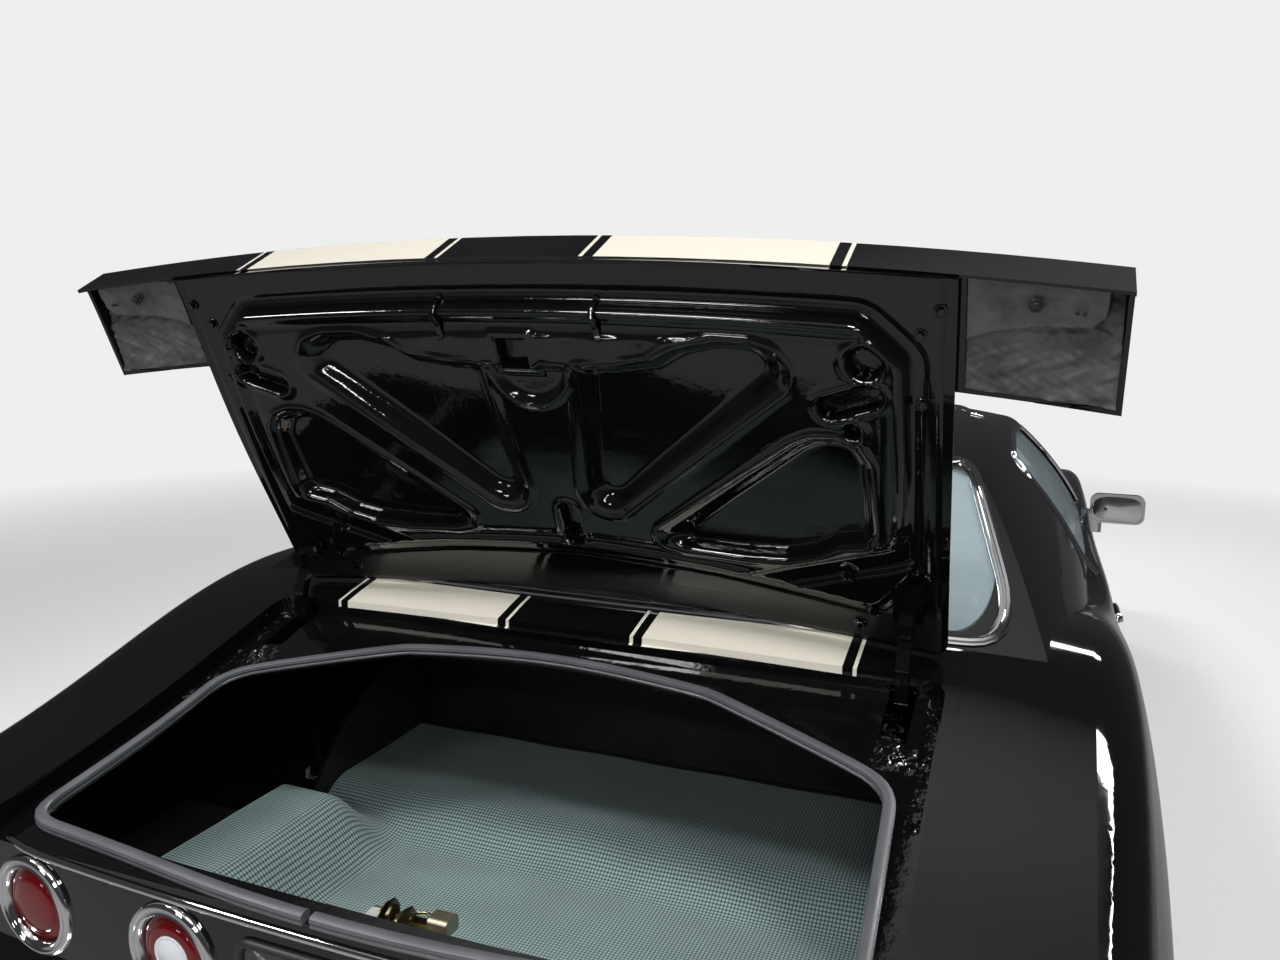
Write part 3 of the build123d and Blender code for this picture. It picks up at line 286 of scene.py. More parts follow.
def cellFaces(cells, side):
    # faces over those cells of a grid that hold a point
    faces = []
    for row, column in cells:
        corners = [cells.get((row + r, column + c)) for r, c in ((0, 0), (0, 1), (1, 1), (1, 0))]
        if None not in corners:
            faces.append(tuple(corners if side > 0 else reversed(corners)))
    return faces


def turnedShape(centre, axis, profile, segments=48):
    # profile holds (distance along the axis, radius); a radius of 0 closes an end
    axis = Vector(axis).normalized()
    side = axis.cross(Vector((0, 0, 1)) if abs(axis.z) < 0.9 else Vector((1, 0, 0))).normalized()
    up = axis.cross(side)
    points, faces, rings = [], [], []
    for along, radius in profile:
        if radius < 1e-6:
            rings.append([len(points)])
            points.append(Vector(centre) + axis * along)
            continue
        rings.append(list(range(len(points), len(points) + segments)))
        for step in range(segments):
            angle = 2 * pi * step / segments
            points.append(Vector(centre) + axis * along + (side * cos(angle) + up * sin(angle)) * radius)
    for low, high in zip(rings, rings[1:]):
        for step in range(segments):
            after = (step + 1) % segments
            if len(low) == 1 and len(high) > 1:
                faces.append((low[0], high[step], high[after]))
            elif len(high) == 1 and len(low) > 1:
                faces.append((low[step], high[0], low[after]))
            elif len(low) > 1:
                faces.append((low[step], high[step], high[after], low[after]))
    return points, faces


def sweptShape(path, ups, profile, closed):
    # profile holds (across, along the up direction) and is a closed loop
    count, size, points = len(path), len(profile), []
    for index, (spot, up) in enumerate(zip(path, ups)):
        before = path[index - 1] if closed or index > 0 else path[index]
        after = path[(index + 1) % count] if closed or index < count - 1 else path[index]
        way = (Vector(after) - Vector(before)).normalized()
        across = way.cross(Vector(up)).normalized()
        lift = across.cross(way).normalized()
        points += [Vector(spot) + across * a + lift * h for a, h in profile]
    faces = ringFaces(count, size, closed)
    return points, faces if closed else faces + endFaces(count, size)


def roundCorners(corners, radius, spacing, closed=True):
    # a flat outline with its corners rounded, resampled evenly
    corners = [Vector(c).to_3d() for c in corners]
    count, line = len(corners), []
    for index, corner in enumerate(corners):
        if not closed and index in (0, count - 1):
            line.append(corner)
            continue
        toBefore = corners[index - 1] - corner
        toAfter = corners[(index + 1) % count] - corner
        half = toBefore.angle(toAfter) / 2
        bend = radius[index] if isinstance(radius, (list, tuple)) else radius
        cut = min(bend / max(0.05, abs(sin(half) / cos(half))) if half < pi / 2 - 1e-3 else 0,
                  toBefore.length * 0.48, toAfter.length * 0.48)
        start, end = corner + toBefore.normalized() * cut, corner + toAfter.normalized() * cut
        for step in range(9):
            t = step / 8
            line.append(start * (1 - t) ** 2 + corner * 2 * t * (1 - t) + end * t ** 2)
    if closed:
        line.append(line[0])
    lengths = [0.0]
    for a, b in zip(line, line[1:]):
        lengths.append(lengths[-1] + (b - a).length)
    steps = max(8, round(lengths[-1] / spacing))
    out, cursor = [], 0
    for step in range(steps if closed else steps + 1):
        target = lengths[-1] * step / steps
        while cursor < len(line) - 2 and lengths[cursor + 1] < target:
            cursor += 1
        span = lengths[cursor + 1] - lengths[cursor]
        t = (target - lengths[cursor]) / span if span > 1e-9 else 0
        out.append(line[cursor].lerp(line[cursor + 1], t))
    return out


def boxOutline(lowX, lowY, highX, highY, bend, spacing):
    return roundCorners([(lowX, lowY), (highX, lowY), (highX, highY), (lowX, highY)], bend, spacing)


def roundSection(width, height, steps=12, power=2.6):
    # a soft-cornered closed section, half its height below zero
    out = []
    for step in range(steps):
        c, s = cos(2 * pi * step / steps), sin(2 * pi * step / steps)
        out.append((width / 2 * abs(c) ** (2 / power) * (1 if c >= 0 else -1),
                    height / 2 * abs(s) ** (2 / power) * (1 if s >= 0 else -1)))
    return out


def smoothRun(values, rounds, closed=True):
    for _ in range(rounds):
        after = [*values[1:], values[0]]
        soft = [(values[i - 1] + values[i] * 2 + after[i]) / 4 for i in range(len(values))]
        values = soft if closed else [values[0], *soft[1:-1], values[-1]]
    return values


def surfaceOf(*names, move=None):
    # a tree for finding where a line meets these nodes
    points, faces = [], []
    for name in names:
        start = len(points)
        points += [(move @ v.co if move else v.co).copy() for v in nodes[name].data.vertices]
        faces += [tuple(i + start for i in p.vertices) for p in nodes[name].data.polygons]
    return BVHTree.FromPolygons(points, faces)


def castOn(tree, start, way):
    # where a ray meets the surface, and the surface's direction back towards the ray's start
    hit, normal, _, _ = tree.ray_cast(Vector(start), Vector(way))
    if hit is None:
        return None, None
    return hit, normal if normal.dot(Vector(way)) < 0 else -normal


def dropOn(tree, x, y, fromZ=1.5):
    return tree.ray_cast(Vector((x, y, fromZ)), Vector((0, 0, -1)))[0]


# the boot's mouth and how much each corner is rounded
mouthOutline = [(0.270, -1.818), (0.562, -1.922), (0.578, -2.288), (0, -2.368), (-0.578, -2.288),
                (-0.562, -1.922), (-0.270, -1.818), (0, -1.794)]
mouthBends = [0.10, 0.06, 0.05, 4.0, 0.05, 0.06, 0.10, 4.0]

# boot lid underside: one pressed sheet over the skin's inner side, laid out in mm from the lid's rear corners
lidLook = {
    "axis": (0.0, -1.666, 0.934), "open": 78.0,
    "rearY": -2.335, "slope": 0.970, "grid": (335, 185), "halfWidth": 603, "rows": (-24, 636),
    "sheet": (-2, 634), "bows": (612, 22, 26), "hemFade": 7, "hem": 0.6,
    "frameOutline": [(-500, 46), (500, 46), (557, 100), (560, 470), (505, 552), (250, 524), (0, 512),
                     (-250, 524), (-505, 552), (-560, 470), (-557, 100)],
    "upperRim": [(80, 146), (50, 385), (60, 412), (84, 424), (112, 420), (396, 160), (402, 130), (386, 104),
                 (350, 92), (292, 92), (236, 106), (200, 130), (120, 146)],
    "upperFloor": [(104, 160), (84, 368), (92, 380), (108, 376), (358, 140), (364, 118), (344, 106),
                   (296, 106), (246, 122), (208, 146), (128, 160)],
    "lowerRim": [(168, 450), (174, 476), (205, 484), (300, 484), (380, 474), (425, 458), (462, 430),
                 (502, 420), (512, 395), (508, 270), (492, 242), (462, 232), (428, 236), (400, 252)],
    "lowerFloor": [(208, 462), (222, 470), (300, 468), (372, 460), (416, 444), (452, 416), (486, 404),
                   (494, 390), (492, 282), (480, 258), (462, 250), (438, 254), (418, 266)],
    "brace": [(-262, 94), (-225, 128), (-190, 146), (-120, 138), (-60, 146), (60, 146), (120, 140),
              (190, 150), (232, 122), (300, 92)],
    "rounds": [(-505, 106, 22), (505, 108, 22), (487, 217, 9), (-466, 486, 17), (466, 486, 15)],
    "slots": [(-490, 168, 46, 17, 24), (484, 170, 46, 17, -24), (14, 455, 42, 15, 90)],
    "striker": (-15, 125, 37, 25), "dish": (4, 150, 68),
    # room for the seal and the gutter once the lid is shut: distance inside the mouth, greatest depth
    "room": ((-30, 19.5), (-22, 11.0), (6, 11.0), (22, 38.0)),
}
hingeSpot = Vector(lidLook["axis"])
turnOpen = Matrix.Rotation(radians(-lidLook["open"]), 4, "X")
turnOpen = Matrix.Translation(hingeSpot) @ turnOpen @ Matrix.Translation(-hingeSpot)
skinShut = surfaceOf("lid_skin", move=turnOpen.inverted())


def edgeDistance(u, v, corners):
    # signed distance to a closed outline, positive inside
    best, inside = np.full(u.shape, 1e9), np.zeros(u.shape, bool)
    for (ax, ay), (bx, by) in zip(corners, corners[1:] + corners[:1]):
        dx, dy = bx - ax, by - ay
        t = np.clip(((u - ax) * dx + (v - ay) * dy) / (dx * dx + dy * dy), 0, 1)
        best = np.minimum(best, np.hypot(u - ax - t * dx, v - ay - t * dy))
        crossing = ((ay > v) != (by > v)) & (u < (bx - ax) * (v - ay) / ((by - ay) or 1e-9) + ax)
        inside ^= crossing
    return np.where(inside, best, -best)


def softStep(value, low, high):
    t = np.clip((value - low) / (high - low), 0, 1)
    return t * t * (3 - 2 * t)


def bead(value, middle, width):
    return np.exp(-((value - middle) / width) ** 2)


def slotDistance(u, v, centreU, centreV, half, angle):
    c, s = cos(radians(angle)), sin(radians(angle))
    along, across = (u - centreU) * c + (v - centreV) * s, (v - centreV) * c - (u - centreU) * s
    return np.hypot(np.maximum(np.abs(along) - half, 0), across)


def lidPressing(u, v):
    look = lidLook
    frameEdge = edgeDistance(u, v, smoothCorners(look["frameOutline"], 30))
    depth = 3.5 + 26.5 * softStep(frameEdge, -9, 9)
    depth += 4.0 * bead(frameEdge, 13, 6) - 2.5 * bead(frameEdge, 30, 8) - 3.0 * bead(frameEdge, -20, 5)
    wave = 1.2 * np.sin(u / 61.0 + v / 93.0) + 0.8 * np.sin(v / 37.0 - u / 71.0)
    braceEdge = edgeDistance(u, v, look["brace"])
    depth += (5.0 + 2.2 * np.sin(u / 17.0) * bead(v, 120, 30)) * softStep(braceEdge, -5, 6)
    dishU, dishV, dishR = look["dish"]
    dish = np.hypot(u - dishU, v - dishV)
    below = softStep(v, dishV - 4, dishV + 6)
    depth += (5.5 * bead(dish, dishR, 5) - 9.0 * softStep(-dish, -dishR + 4, -dishR + 22)) * below
    for rim, floor in (("upperRim", "upperFloor"), ("lowerRim", "lowerFloor")):
        for side in (1, -1):
            outer = edgeDistance(u * side, v, smoothCorners(look[rim], 12))
            inner = edgeDistance(u * side, v, smoothCorners(look[floor], 8))
            outside = np.maximum(-inner, 0)
            t = np.clip(outer / (np.maximum(outer, 0) + outside + 1e-6), 0, 1)
            drop = softStep(t, 0, 1)
            depth = depth * (1 - drop) + (2.5 + wave) * drop
            depth += 4.5 * bead(outer, -7, 5) * (1 - drop)
    holes = [(np.hypot(u - midU, v - midV), radius, 4.0, 9) for midU, midV, radius in look["rounds"]]
    holes += [(slotDistance(u, v, midU, midV, half - radius, angle), radius, 3.5, 7)
              for midU, midV, half, radius, angle in look["slots"]]
    for gap, radius, lipHeight, lipOut in holes:
        depth += lipHeight * bead(gap, radius + lipOut, 4.5)
        depth = np.where(gap < radius + 3, depth - 22 * softStep(-gap, -radius - 1.5, -radius + 2.5), depth)
    centreU, centreV, half, hole = look["striker"]
    square = np.maximum(np.abs(u - centreU), np.abs(v - centreV))
    depth += 8.0 * softStep(-square, -half - 2, -half + 3)
    depth -= 30.0 * softStep(-square, -hole - 1, -hole + 3)
    return np.clip(depth, 1.0, 38.0)


def smoothCorners(corners, radius):
    return [(p.x, p.y) for p in roundCorners(corners, radius, 9)]


def makeLidInner():
    # glossy as the bay paint, duller along the edge above the rear screen
    mat, tree, shader, coords = startMaterial("lidInner", (0.003, 0.003, 0.0034), 0.07, coat=0.3)
    height = addSplit(tree, coords)[2]
    tree.links.new(addRange(tree, height, 1.03, 1.085, 0.5, 0.07), shader.inputs["Roughness"])
    tree.links.new(addRange(tree, height, 1.03, 1.085, 0.0, 0.3), shader.inputs["Coat Weight"])
    addBump(tree, shader, addNoise(tree, coords, 70.0, 3.0), 0.3, 0.0012)
    return mat


def lidUnderside():
    look = lidLook
    (columns, rows), side = look["grid"], look["halfWidth"]
    rear, front = look["rows"]
    gridU, gridV = np.meshgrid(np.linspace(-side, side, columns), np.linspace(rear, front, rows))
    # the rear edge bows out and the front edge bows back, as the lid's outline does
    bowWidth, rearBow, frontBow = look["bows"]
    bow = 1 - (gridU / bowWidth) ** 2
    share = (gridV - rear) / (front - rear)
    sheetV = look["sheet"][0] + share * (look["sheet"][1] - look["sheet"][0])
    sheetV -= (1 - share) * rearBow * bow + share * frontBow * bow
    depth = lidPressing(gridU, gridV)
    mouth = [(p.x * 1000, p.y * 1000) for p in roundCorners(mouthOutline, mouthBends, 0.02)]
    mouthEdge = edgeDistance(gridU, look["rearY"] * 1000 + look["slope"] * sheetV, mouth)
    depth = np.minimum(depth, np.interp(mouthEdge, *zip(*look["room"])))
    toHem = np.minimum(side - np.abs(gridU), np.minimum(gridV - rear, front - gridV))
    depth = look["hem"] + (depth - look["hem"]) * softStep(toHem, 0, look["hemFade"])
    points = []
    for row in range(rows):
        for column in range(columns):
            x, y = gridU[row, column] / 1000, look["rearY"] + look["slope"] * sheetV[row, column] / 1000
            hit = skinShut.ray_cast(Vector((x, y, 0.5)), Vector((0, 0, 1)))[0]
            base = hit.z if hit else skinShut.find_nearest(Vector((x, y, 0.85)))[0].z - 0.004
            points.append(turnOpen @ Vector((x, y, base - depth[row, column] / 1000)))
    faces = gridFaces(rows, columns)
    piece = addPiece("lidUnderside", points, faces, makeLidInner(), "lid", "bay_paint", sharp=60)
    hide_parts("lid_frame")


lidUnderside()
print("lid underside pressed")

# spoiler ends seen from below: a flat closing plate near the lip, an open well in front of it, bolts
trayLook = {
    "lip": (815, 203, -2316, -19), "rim": (0.775, 0.015, 0.00014), "clear": 0.0045, "shape": (76, 70),
    # x and the distance from the lip, in mm
    "plate": [(622, -30), (780, -30), (792, -12), (789, 34), (775, 49), (700, 58), (655, 70), (622, 86)],
    "level": 11.0, "x": (629.5, 807.5), "y": (-2.5, 150), "lump": 0.0042, "grey": (0.072, 0.074, 0.078),
    "bolt": (709, 26), "pins": ((755, 30), (763, 30)),
}


def makeTrayGrey():
    mat, tree, shader, coords = startMaterial("trayGrey", trayLook["grey"], 0.5)
    cloud, speck = addNoise(tree, coords, 22.0, 6.0, 0.65), addNoise(tree, coords, 300.0, 3.0)
    share = addRange(tree, cloud, 0.35, 0.65, 0.0, 1.0)
    base = addMix(tree, share, (0.045, 0.047, 0.05), (0.10, 0.102, 0.106))
    colour = addMix(tree, addRange(tree, speck, 0.66, 0.72, 0.0, 0.8), base, (0.02, 0.02, 0.02))
    tree.links.new(colour, shader.inputs["Base Color"])
    tree.links.new(addRange(tree, cloud, 0.3, 0.7, 0.35, 0.6), shader.inputs["Roughness"])
    addBump(tree, shader, addNoise(tree, coords, 60.0, 6.0), 0.35, 0.0015)
    return mat


spoilerShut = surfaceOf("spoiler", move=turnOpen.inverted())
quarterTop = surfaceOf("quarter_left", "quarter_right")


def lipLine(x):
    tip, run, tipY, back = trayLook["lip"]
    return tipY + (tip - abs(x)) * (back / run)


def rimHeight(x, off):
    tip, run = trayLook["lip"][:2]
    base, climb, rise = trayLook["rim"]
    return base + (tip - abs(x)) / run * climb + off * rise


def trayShape(side):
    look, spots, cells = trayLook, [], {}
    columns, rows = look["shape"]
    for row in range(rows):
        for column in range(columns):
            x = look["x"][0] + (look["x"][1] - look["x"][0]) * column / (columns - 1)
            off = look["y"][0] + (look["y"][1] - look["y"][0]) * row / (rows - 1)
            y = lipLine(x) + off
            hit = spoilerShut.ray_cast(Vector((x * side / 1000, y / 1000, 0.72)), Vector((0, 0, 1)))[0]
            rim = rimHeight(x, max(0, off))
            if not hit or hit.z < rim + 0.002:
                continue
            edge = edgeDistance(np.array([float(x)]), np.array([float(off)]), look["plate"])[0]
            share = float(softStep(np.array([edge]), -3, 3)[0])
            fold = sin(x * 0.083 + 2.4 * sin(off * 0.061)) * sin(off * 0.12 + x * 0.036 + side)
            crumb = 0.3 * sin(x * 0.31 + 2 * sin(off * 0.17)) * sin(off * 0.27 + x * 0.05)
            deep = hit.z - 0.0012 - look["lump"] * max(0.0, abs(fold) ** 1.5 + crumb) * (1 - share)
            z = min(deep, deep * (1 - share) + (rim + look["level"] / 1000) * share)
            # clear of the wings once the lid is shut
            below = dropOn(quarterTop, x * side / 1000, y / 1000)
            z = max(z, below.z + look["clear"]) if below else z
            cells[row, column] = len(spots)
            spots.append(turnOpen @ Vector((x * side / 1000, y / 1000, z)))
    return spots, cellFaces(cells, side)


def trayBolts(side):
    look, shapes = trayLook, []
    down = (turnOpen.to_3x3() @ Vector((0, 0, -1))).normalized()
    for (x, off), r in ((look["bolt"], 0.0085), (look["pins"][0], 0.0028), (look["pins"][1], 0.0028)):
        z = rimHeight(x, off) + look["level"] / 1000
        spot = turnOpen @ Vector((x * side / 1000, (lipLine(x) + off) / 1000, z))
        if (x, off) == look["bolt"]:
            washer = [(-0.001, r), (0.0012, r), (0.002, r - 0.001), (0.002, r * 0.62)]
            head = [(0.001, r * 0.62), (0.0062, r * 0.6), (0.0068, r * 0.5), (0.0068, 0)]
            shapes += [turnedShape(spot, down, washer, 32), turnedShape(spot, down, head, 6)]
        else:
            pin = [(-0.001, r), (0.0012, r), (0.0018, r * 0.7), (0.0018, 0)]
            shapes.append(turnedShape(spot, down, pin, 16))
    return joinShapes(shapes)


trayGrey = makeTrayGrey()
addPiece("spoilerTrays", *joinShapes([trayShape(1), trayShape(-1)]), trayGrey, "lid", "bay_paint", sharp=50)
addShapes("spoilerTrayBolts", [trayBolts(1), trayBolts(-1)], "black_trim", "lid")

# brushed seam sealer in the gutter round each hinge pocket, lumpy under thick paint
sealerLook = {
    "x": (0.516, 0.6165), "y": (-1.985, -1.715), "pocket": (0.533, 0.577, -1.829), "cell": 0.0016,
    "lump": 0.0052, "wallReach": 0.030, "heap": ((0.560, 0.040), (-1.853, 0.034)), "flat": 0.7,
}


def gutterSealer(side, gutter):
    look, spots, cells = sealerLook, [], {}
    (heapX, reachX), (heapY, reachY) = look["heap"]
    columns = int((look["x"][1] - look["x"][0]) / look["cell"])
    rows = int((look["y"][1] - look["y"][0]) / look["cell"])
    for row in range(rows):
        for column in range(columns):
            x, y = look["x"][0] + column * look["cell"], look["y"][0] + row * look["cell"]
            if look["pocket"][0] < x < look["pocket"][1] and y > look["pocket"][2]:
                continue
            nearWall = max(0.0, 1 - (look["x"][1] - x) / look["wallReach"])
            nearPocket = max(0.0, 1 - ((y - heapY) / reachY) ** 2) * max(0.0, 1 - ((x - heapX) / reachX) ** 2)
            place = Vector((x * side, y, 0.3 * side))
            blobs = 0.55 + 0.9 * noise.noise(place * 85) + 0.5 * noise.noise(place * 210)
            rise = look["lump"] * max(nearWall * 0.75, nearPocket) * max(0.0, blobs) - 0.0004
            hit, normal, _, _ = gutter.ray_cast(Vector((x * side, y, 1.2)), Vector((0, 0, -1)))
            if rise < 0 or not hit or normal.z < look["flat"]:
                continue
            cells[row, column] = len(spots)
            spots.append(hit + Vector((0, 0, rise)))
    return spots, cellFaces(cells, side)


gutterTop = surfaceOf("boot_gutter")
addPiece("gutterSealer", *joinShapes([gutterSealer(1, gutterTop), gutterSealer(-1, gutterTop)]),
         looks["body_paint"], "car", "bay_paint", sharp=80)
print("gutter sealed")

# bolts, washers and the two small straps on the lid's underside (u, v in mm from the lid's rear corners)
lidHardwareLook = {
    "straps": ((-135, 64, 60, 9), (125, 64, 58, 9)),
    "bolts": ((0.0062, ((-598, 46), (598, 46), (-574, 80), (574, 80), (-577, 180), (577, 180))),
              (0.0075, ((-502, 560), (-478, 590), (502, 560), (478, 590)))),
}


def undersideSpot(u, v):
    # a point on the pressing, in the open pose, with the direction out of it
    x, y = u / 1000, lidLook["rearY"] + lidLook["slope"] * v / 1000
    way = (turnOpen.to_3x3() @ Vector((0, 0, 1))).normalized()
    return castOn(undersideTree, turnOpen @ Vector((x, y, 0.55)), way)


underside = bpy.data.objects["lidUnderside"].data
undersideTree = BVHTree.FromPolygons([v.co.copy() for v in underside.vertices],
                                     [tuple(p.vertices) for p in underside.polygons])


def hexBolt(spot, out, r):
    washer = [(-0.001, r * 1.5), (0.0012, r * 1.5), (0.0018, r * 1.38), (0.0018, 0)]
    head = [(0.0015, r), (0.0062, r), (0.0072, r * 0.86), (0.0072, 0)]
    return joinShapes([turnedShape(spot, out, washer, 28), turnedShape(spot, out, head, 6)])


def lidHardware():
    look, bolts, straps = lidHardwareLook, [], []
    for radius, places in look["bolts"]:
        for u, v in places:
            spot, out = undersideSpot(u, v)
            if spot:
                bolts.append(hexBolt(spot, out, radius))
    for u, v, length, width in look["straps"]:
        path, ups = [], []
        for step in range(9):
            t = step / 8 * 2 - 1
            spot, out = undersideSpot(u + t * 3, v + t * length / 2)
            if spot:
                path.append(spot + out * (0.0012 + 0.0055 * (1 - t * t)))
                ups.append(out)
        straps.append(sweptShape(path, ups, roundSection(width / 1000, 0.0022), closed=False))
        for end in (0, -1):
            rivet = [(-0.001, 0.0052), (0.0022, 0.005), (0.0032, 0.0035), (0.0035, 0)]
            bolts.append(turnedShape(path[end], ups[end], rivet, 20))
    addShapes("lidBolts", bolts, "bay_paint", "lid", sharp=35)
    addShapes("lidStraps", straps, "bay_paint", "lid")


lidHardware()
print("spoiler trays and lid hardware fitted")

# bulb seal round the boot mouth
sealLook = {
    "grow": 0.0085, "width": 0.018, "height": 0.0148, "sink": 0.001, "up": (0, -0.1, 1),
    "split": (-0.045, -2.33, 0.84), "smooth": 12,
    "half": [(0.9, 0.0), (0.95, 0.18), (0.72, 0.34), (0.98, 0.55), (0.85, 0.84), (0.4, 1.0)],
}


def growOutline(line, amount):
    out, count = [], len(line)
    for index in range(count):
        way = (line[(index + 1) % count] - line[index - 1]).normalized()
        out.append(line[index] + Vector((way.y, -way.x, 0)) * amount)
    return out


def mouthLine(amount, spacing=0.012):
    # the mouth's outline, laid on the gutter
    line = roundCorners(mouthOutline, mouthBends, spacing)
    area = sum(a.x * b.y - b.x * a.y for a, b in zip(line, line[1:] + line[:1]))
    line = growOutline(line, amount if area > 0 else -amount)
    spots = []
    for p in line:
        hit = dropOn(gutterTop, p.x, p.y)
        spots.append(Vector((p.x, p.y, hit.z if hit else spots[-1].z if spots else 0.85)))
    return spots


def bootSeal():
    look = sealLook
    spots = mouthLine(look["grow"])
    heights = smoothRun([p.z for p in spots], look["smooth"])
    spots = [Vector((p.x, p.y, z)) for p, z in zip(spots, heights)]
    up = [Vector(look["up"])] * len(spots)
    w, h, sink = look["width"] / 2, look["height"], look["sink"]
    bulb = [(w * a, h * b - sink) for a, b in look["half"]]
    bulb += [(-a, b) for a, b in reversed(bulb)]
    split = min(range(len(spots)), key=lambda i: (spots[i] - Vector(look["split"])).length)
    spots = spots[split:] + spots[:split]
    piece = addShapes("bootSeal", [sweptShape(spots, up, bulb, closed=False)], "seal_rubber")
    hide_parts("boot_seal")


bootSeal()

# floor mat, laid over the boot floor, with the hump over the axle and a fold at the left
matLook = {
    "halfWidth": 0.596, "rearY": -2.305, "frontY": -1.285, "grid": (150, 170), "thread": 0.0008,
    "repeat": 8.0, "shown": 4.6, "pale": (0.34, 0.47, 0.45), "dark": (0.012, 0.018, 0.019), "smooth": 5,
    "wave": 0.0016, "above": 0.0015, "ledge": {"x": (-0.375, -0.495), "y": (-2.29, -2.07, -1.77, -1.63),
                                               "rise": 0.122},
}
matTop = surfaceOf("boot_mat")


def makeCheckCloth(name, look):
    mat, tree, shader, coords = startMaterial(name, look["pale"], 0.85)
    halves = []
    for value in addSplit(tree, coords)[:2]:
        thread = addMath(tree, "FLOOR", addMath(tree, "DIVIDE", value, look["thread"]))
        within = addMath(tree, "FLOORED_MODULO", thread, look["repeat"])
        halves.append(addMath(tree, "MULTIPLY", addMath(tree, "LESS_THAN", within, look["shown"]), 0.5))
    shown = addMath(tree, "POWER", addMath(tree, "ADD", *halves), 1.5)
    cloud = addNoise(tree, coords, 5.0, 4.0)
    pale = addMix(tree, cloud, tuple(c * 0.75 for c in look["pale"]), tuple(c * 1.2 for c in look["pale"]))
    tree.links.new(addMix(tree, shown, look["dark"], pale), shader.inputs["Base Color"])
    shader.inputs["Sheen Weight"].default_value = 0.25
    addBump(tree, shader, shown, 0.5, 0.0006)
    addBump(tree, shader, addNoise(tree, coords, 900.0, 2.0), 0.3, 0.0004)
    return mat


def ledgeRise(x, y):
    # the mat climbs at the left, over what is stowed beside the tank
    ledge = matLook["ledge"]
    y0, y1, y2, y3 = ledge["y"]
    along = softStep(y, y0, y1) * (1 - softStep(y, y2, y3))
    return float(ledge["rise"] * softStep(x, *ledge["x"]) * along * (0.92 + 0.3 * (-x - 0.49)))


def bootMat():
    look = matLook
    (columns, rows), points, heights = look["grid"], [], {}
    low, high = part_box("boot_mat")
    for row in range(rows):
        y = look["rearY"] + (look["frontY"] - look["rearY"]) * row / (rows - 1)
        for column in range(columns):
            x = look["halfWidth"] * (2 * column / (columns - 1) - 1)
            hit = dropOn(matTop, x, y, 0.9)
            heights[row, column] = [x, y, hit.z if hit else None]
    # fill where the solid mat ends at a corner
    for row in range(rows):
        for column in range(columns):
            if heights[row, column][2] is None:
                near = [heights[row, c][2] for c in range(columns) if heights[row, c][2] is not None]
                heights[row, column][2] = near[0] if near else high.z
    for row in range(rows):
        for column in range(columns):
            x, y, z = heights[row, column]
            reach = range(-look["smooth"], look["smooth"] + 1)
            window = [heights[max(0, min(rows - 1, row + k)), column][2] for k in reach]
            z = sum(window) / len(window) + look["above"] + ledgeRise(x, y)
            z += look["wave"] * sin(x * 23 + 1.3 * sin(y * 9)) * sin(y * 17 + 0.7)
            points.append((x, y, z))
    faces = gridFaces(rows, columns)
    piece = addPiece("bootFloorMat", points, faces, makeCheckCloth("crowfootMat", look), "car", "mat",
                     sharp=80)
    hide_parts("boot_mat")


bootMat()
print("seal and mat laid")

# tail lamps: stepped bright bezel, black well, dished red lens
tailLampLook = {
    "xs": (0.268, 0.532), "z": 0.690, "bezel": 0.075, "lens": 0.056, "reach": 0.078,
    # along the axis, and inwards from the radius; None is the middle
    "bezelProfile": [(-0.006, 0.001), (0.003, 0), (0.007, 0.002), (0.009, 0.006), (0.0085, 0.009),
                     (0.006, 0.0105), (0.0065, 0.013), (0.008, 0.0155), (0.006, 0.0185), (-0.004, 0.020),
                     (-0.006, 0.018)],
    "wellProfile": [(-0.004, 0.0185), (-0.016, 0.0205), (-0.0165, None)],
    "lensProfile": [(-0.0155, -0.0005), (-0.006, 0), (-0.002, 0.003), (0.0005, 0.008), (0.002, 0.012),
                    (0.001, 0.0135), (0.003, 0.015)],
    "outerMiddle": [(0.0048, 0.022), (0.0062, 0.034), (0.007, None)],
    "innerMiddle": [(0.0042, 0.020), (0.0046, 0.0265), (0.003, 0.027)],
    "clearProfile": [(0.001, 0.0272), (0.0052, 0.0275), (0.0062, 0.030), (0.0054, 0.032), (0.0072, 0.035),
                     (0.0085, None)],
}
tailFace = surfaceOf("tail_panel")


def inwards(radius, profile):
    return [(along, 0 if inset is None else radius - inset) for along, inset in profile]


def tailLamps():
    look = tailLampLook
    bezels, wells, lenses, clears, reach = [], [], [], [], look["reach"]
    for x in (-look["xs"][1], -look["xs"][0], look["xs"][0], look["xs"][1]):
        hits = [castOn(tailFace, (x + dx, -3, look["z"] + dz), (0, 1, 0))[0]
                for dx, dz in ((reach, 0), (-reach, 0), (0, reach), (0, -reach))]
        side, upright = (hits[0] - hits[1]).normalized(), (hits[2] - hits[3]).normalized()
        out = side.cross(upright)
        out = out if out.y < 0 else -out
        centre = sum(hits, Vector()) / 4
        bezels.append(turnedShape(centre, out, inwards(look["bezel"], look["bezelProfile"]), 72))
        wells.append(turnedShape(centre, out, inwards(look["bezel"], look["wellProfile"]), 72))
        middle = look["outerMiddle"] if abs(x) > look["xs"][0] else look["innerMiddle"]
        lenses.append(turnedShape(centre, out, inwards(look["lens"], look["lensProfile"] + middle), 72))
        if abs(x) == look["xs"][0]:
            clears.append(turnedShape(centre, out, inwards(look["lens"], look["clearProfile"]), 60))
    addShapes("tailLampBezels", bezels, "chrome", sharp=50)
    addShapes("tailLampWells", wells, "black_trim")
    lens = addShapes("tailLampLenses", lenses, "lamp_red", sharp=50)
    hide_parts("tail_lamps")
    addPiece("reverseLampLenses", *joinShapes(clears), looks["lamp_clear"], "car", "lamp_red", sharp=50)


tailLamps()

